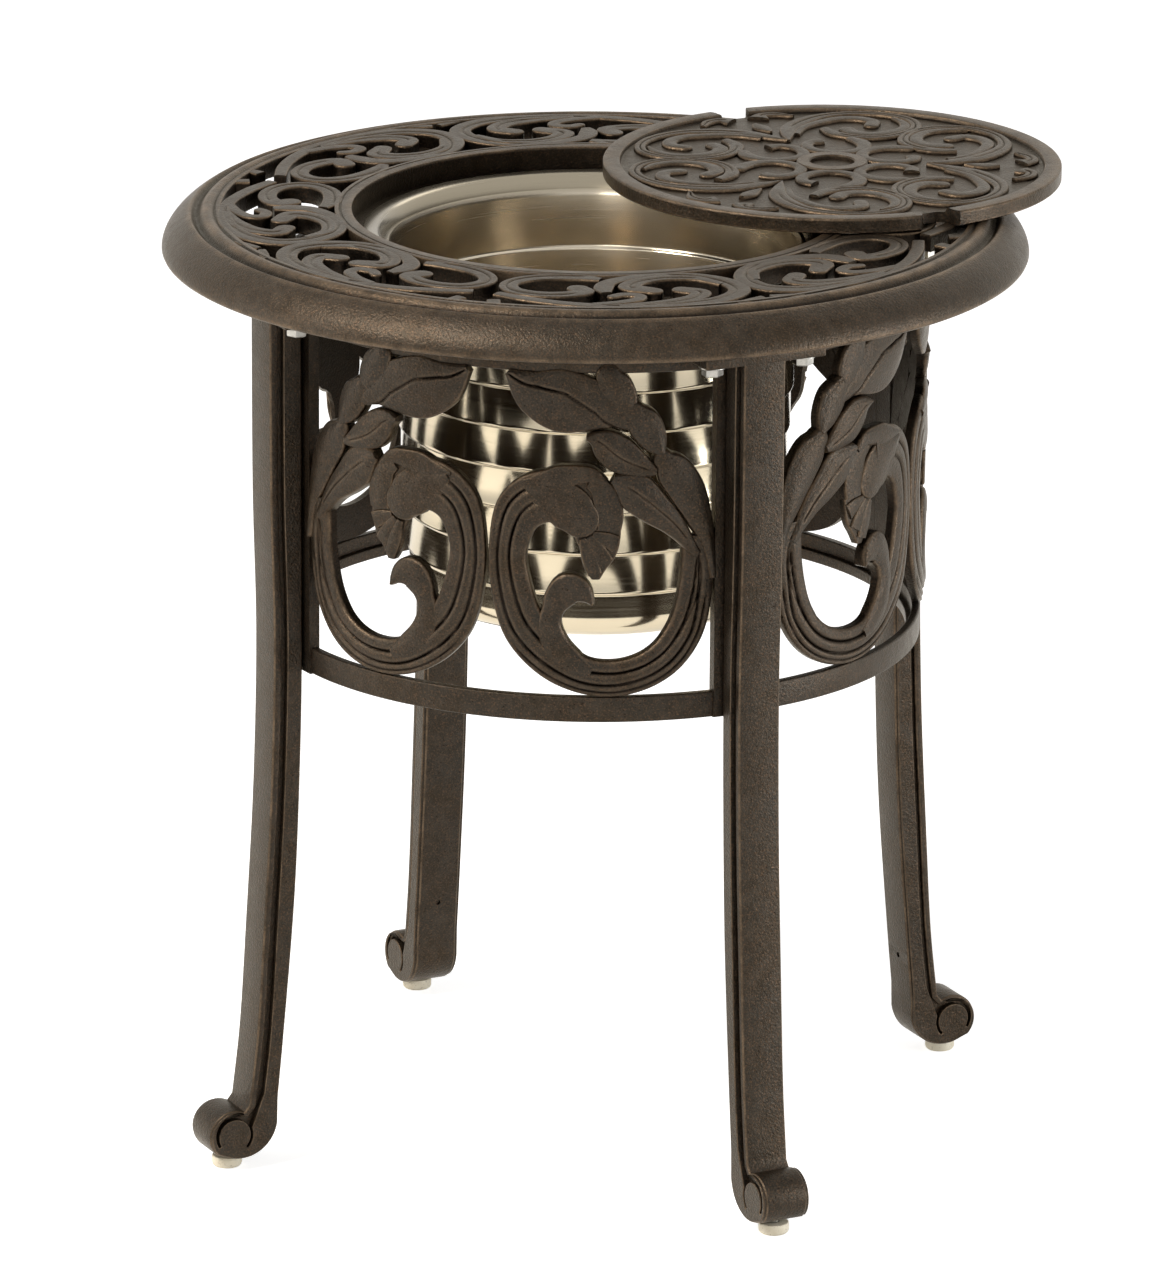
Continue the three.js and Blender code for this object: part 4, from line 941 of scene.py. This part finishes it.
def leg_casting():
    face, rear = leg_line(FACE), leg_line(REAR)
    roll = arc(*EYE, ROLL, 118, -45, 44)
    heel = arc(*HEEL, HEEL_ROUND, -65, -175, 40)
    outline = np.vstack([face, roll, heel, rear])
    way = np.gradient(outline, axis=0)
    way /= np.linalg.norm(way, axis=1)[:, None]
    inwards = np.column_stack([way[:, 1], -way[:, 0]])
    # Width of the strip: down the face, round the roll and the heel, and up the rear edge
    strip_ends = ((6.6, 5, face), (4.4, 3.2, roll), (3, 2.2, heel), (2.6, 4.6, rear))
    wide = np.concatenate([np.linspace(start, end, len(line)) for start, end, line in strip_ends])
    core = plate(outline + inwards * 0.6, CORE_HALF, 1.0, 0.2)
    strip = band(outline, outline + inwards * wide[:, None], STRIP_HALF, 1.5)
    weep = revolved([(0, 0), (WEEP_RADIUS, 0), (WEEP_RADIUS, 24), (0, 24)], 24)
    weep = facing_out(mapped(weep, lambda p: p[:, [2, 1, 0]] + [LEG_REAR + 6, 0, WEEP_HEIGHT]))
    front_edge = face[face[:, 1] > 52] - [9.2, 0]
    rear_edge = rear[rear[:, 1] > 50] + [1.4, 0]
    rib = plate(np.vstack([
        front_edge, spiral(DISC + 1.8, DISC + 1.8, 160, 225, 16), spiral(DISC, DISC, 225, -30, 64),
        spiral(DISC + 1.8, ROLL - 1.5, -30, 115, 36), spiral(ROLL - 0.9, ROLL - 0.9, 115, -45, 40),
        arc(*HEEL, HEEL_ROUND - 0.9, -65, -172, 36), rear_edge]), RIB_HALF, 0.8, 0.7)
    flange = block(LEG_REAR, LEG_REAR + 26, -45, 45, LEG_TOP - 8, LEG_TOP, 1.4)
    return together([without(core, [weep]), without(strip, [weep]), rib, flange])


leg_made = leg_casting()
for k, corner in enumerate(CORNERS):
    node = f"leg_{corner}"
    piece(f"{node}_casting", turned(leg_made, 45 + 90 * k), [BRONZE], "table_frame", "bronze_coat", [node])


# Glides and fasteners
THREAD_RADIUS, THREAD_ROOT, THREAD_PITCH = 4, 3.4, 1.25
BOLT_HEAD, BOLT_HEAD_HEIGHT, BOLT_SHANK = 7.4, 5.5, 4
SCREW_HEAD, SCREW_LENGTH = 9, 18
BOLTS_ACROSS = (-34, 34)
SCREW_HEIGHTS = (APRON_BOTTOM + 30, APRON_TOP - 30)


def pad():
    return revolved([
        (0, 0), (8, 0), (9.2, 0.35), (10.1, 1.2), (10.5, 2.5), (10.5, 7.2), (10.1, 7.8), (9.4, 8),
        (4.3, 8), (4.3, 4.7), (0, 4.7),
    ], 64)


def stem():
    low, length = 5, 19
    profile = [(0, low), (THREAD_ROOT, low)]
    z = low
    while z < low + length - 2:
        profile += [(THREAD_RADIUS, z + 0.5), (THREAD_RADIUS, z + 0.7), (THREAD_ROOT, z + THREAD_PITCH)]
        z += THREAD_PITCH
    profile += [(THREAD_ROOT, low + length - 0.4), (THREAD_ROOT - 0.5, low + length), (0, low + length)]
    return revolved(profile, 36)


def hex_bolt(seat, tip):
    angles = np.radians(np.arange(0, 360, 60))
    low = seat - BOLT_HEAD_HEIGHT
    points = []
    profile = [(BOLT_HEAD, seat), *from_corner(BOLT_HEAD, low, [(0, 0.9), (-0.5, 0.3), (-1.2, 0)])]
    for radius, z in profile:
        points += [(radius * math.cos(a), radius * math.sin(a), z) for a in angles]
    head = facing_out(solid(points, capped_tube(len(profile), len(angles))))
    r = BOLT_SHANK
    shank = [(0, seat - 0.5), (r, seat - 0.5), (r, tip - 0.8), (r - 0.7, tip), (0, tip)]
    return together([head, revolved(shank, 32)])


def round_washer():
    low, high = washer_low[2], washer_high[2]
    inner, outer, edge = 4.8, 9.5, 0.35
    return revolved([(inner, low), (outer - 0.4, low), (outer, low + edge),
                     (outer, high - edge), (outer - 0.4, high), (inner, high)], 48)


def pan_screw(seat, tip):
    profile = from_corner(0, seat, [
        (0, -4), (4, -3.9), (6.6, -3.4), (8.4, -2.2), (SCREW_HEAD, -0.7), (SCREW_HEAD - 0.2, 0), (3, 0)])
    profile += from_corner(0, tip, [(3, -0.6), (2.5, 0), (0, 0)])
    return mapped(revolved(profile, 48), lambda p: p[:, [2, 1, 0]] * [1, 1, -1])


# The end bars' inner faces bend away towards the axis, so the screws seat at their heads' radius
sag = APRON_INNER - math.sqrt(APRON_INNER**2 - END_BAR**2)
screw_seat = APRON_INNER - sag * SCREW_HEAD / END_BAR - 0.3
screw_made = pan_screw(screw_seat, screw_seat + SCREW_LENGTH)
bolt_made = hex_bolt(bolt_low[2] + BOLT_HEAD_HEIGHT, bolt_high[2])
glide_parts = ((pad(), "glide_pad", NYLON, "nylon"), (stem(), "glide_stem", ZINC, "zinc_steel"))
bolt_parts = ((bolt_made, "top_bolt"), (round_washer(), "washer"))
for k, corner in enumerate(CORNERS):
    degrees = 45 + 90 * k
    for part, label, material, slot in glide_parts:
        node = f"{label}_{corner}"
        placed = turned(moved(part, PAD_AT, 0, 0), degrees)
        piece(f"{node}_made", placed, [material], f"glide_{corner}", slot, [node])
    fixed = [(moved(part, BOLT_AT, across, 0), f"{label}_{corner}_{n}")
             for n, across in enumerate(BOLTS_ACROSS, 1) for part, label in bolt_parts]
    fixed += [(moved(screw_made, 0, 0, height), f"apron_screw_{corner}_{n}")
              for n, height in enumerate(SCREW_HEIGHTS, 1)]
    for part, node in fixed:
        piece(f"{node}_made", turned(part, degrees), [ZINC], "table_frame", "zinc_steel", [node], sharp=30)


# Floor, world, lights and camera
FLOOR_HALF, FLOOR_GLOW, AMBIENT = 30.0, 0.74, 0.24


def only_seen(tree):
    """1 for camera, glossy and transmission rays, 0 for the rays that light the object."""
    path = tree.add("ShaderNodeLightPath")
    seen = tree.maths("MAXIMUM", path.outputs["Is Camera Ray"], path.outputs["Is Glossy Ray"])
    return tree.maths("MAXIMUM", seen, path.outputs["Is Transmission Ray"])


def floor():
    mesh = bpy.data.meshes.new("floor")
    corners = [(x * FLOOR_HALF, y * FLOOR_HALF, 0) for x, y in ((-1, -1), (1, -1), (1, 1), (-1, 1))]
    mesh.from_pydata(corners, [], [(0, 1, 2, 3)])
    thing = linked("floor", mesh)
    finish = Finish("floor")
    finish.set(Base_Color=(0.80, 0.80, 0.80, 1.0), Roughness=0.9, Metallic=0.0)
    plain = finish.shader.outputs[0]
    glow = finish.add("ShaderNodeEmission", {"Color": (1, 1, 1, 1), "Strength": FLOOR_GLOW})
    lit = finish.add("ShaderNodeAddShader", {0: plain, 1: glow.outputs[0]})
    choice = finish.add("ShaderNodeMixShader", {0: only_seen(finish), 1: plain, 2: lit.outputs[0]})
    finish.put(finish.nodes["Material Output"].inputs["Surface"], choice.outputs[0])
    mesh.materials.append(finish.material)


def world():
    made = bpy.data.worlds.new("studio")
    bpy.context.scene.world = made
    tree = Nodes(made)
    background = tree.nodes["Background"]
    tree.put(background.inputs["Color"], (1, 1, 1, 1))
    tree.put(background.inputs["Strength"], tree.maths("MAXIMUM", only_seen(tree), AMBIENT))


def area_light(name, place, aim, size, power, colour):
    data = bpy.data.lights.new(name, "AREA")
    data.shape, data.size, data.energy, data.color = "SQUARE", size, power, colour
    thing = linked(name, data)
    thing.location = place
    thing.rotation_euler = (Vector(aim) - Vector(place)).to_track_quat("-Z", "Y").to_euler()


def side_and_up(forward):
    right = forward.cross(Vector((0, 0, 1))).normalized()
    return right, right.cross(forward)


def camera():
    data = bpy.data.cameras.new("camera")
    data.sensor_fit, data.sensor_height = "VERTICAL", 36.0
    pixels_high, focal_pixels = 1280, 10050
    data.lens = focal_pixels * data.sensor_height / pixels_high
    thing = linked("camera", data)
    bpy.context.scene.camera = thing
    azimuth, elevation, roll, distance = math.radians(18.3), math.radians(16.8), math.radians(0.4), 7.0
    target, shift_right, shift_up = Vector((0, 0, 0.4)), -0.00495, -0.0527
    back = Vector((math.sin(azimuth) * math.cos(elevation), -math.cos(azimuth) * math.cos(elevation),
                   math.sin(elevation)))
    place = target + back * distance
    right, up = side_and_up(-back)
    forward = (target + right * shift_right + up * shift_up - place).normalized()
    right, up = side_and_up(forward)
    axes = Matrix((right, up, -forward)).transposed().to_4x4()
    thing.matrix_world = Matrix.Translation(place) @ axes @ Matrix.Rotation(roll, 4, "Z")


floor()
world()
MIDDLE = (0, 0, 0.45)
area_light("key", (-1.4, -1.75, 2.8), MIDDLE, 0.8, 88, (1.0, 0.95, 0.88))
area_light("left", (-2.8, -1.3, 0.9), MIDDLE, 1.0, 22, (1.0, 0.95, 0.88))
area_light("side", (2.7, 0.1, 0.5), MIDDLE, 1.0, 38, (0.95, 0.97, 1.0))
area_light("front", (0.4, -3.2, 1.6), MIDDLE, 0.9, 12, (1.0, 0.96, 0.90))
area_light("back", (0.3, 2.4, 2.4), MIDDLE, 1.0, 6, (1.0, 0.98, 0.95))
camera()
bpy.context.scene.view_settings.view_transform = "Standard"
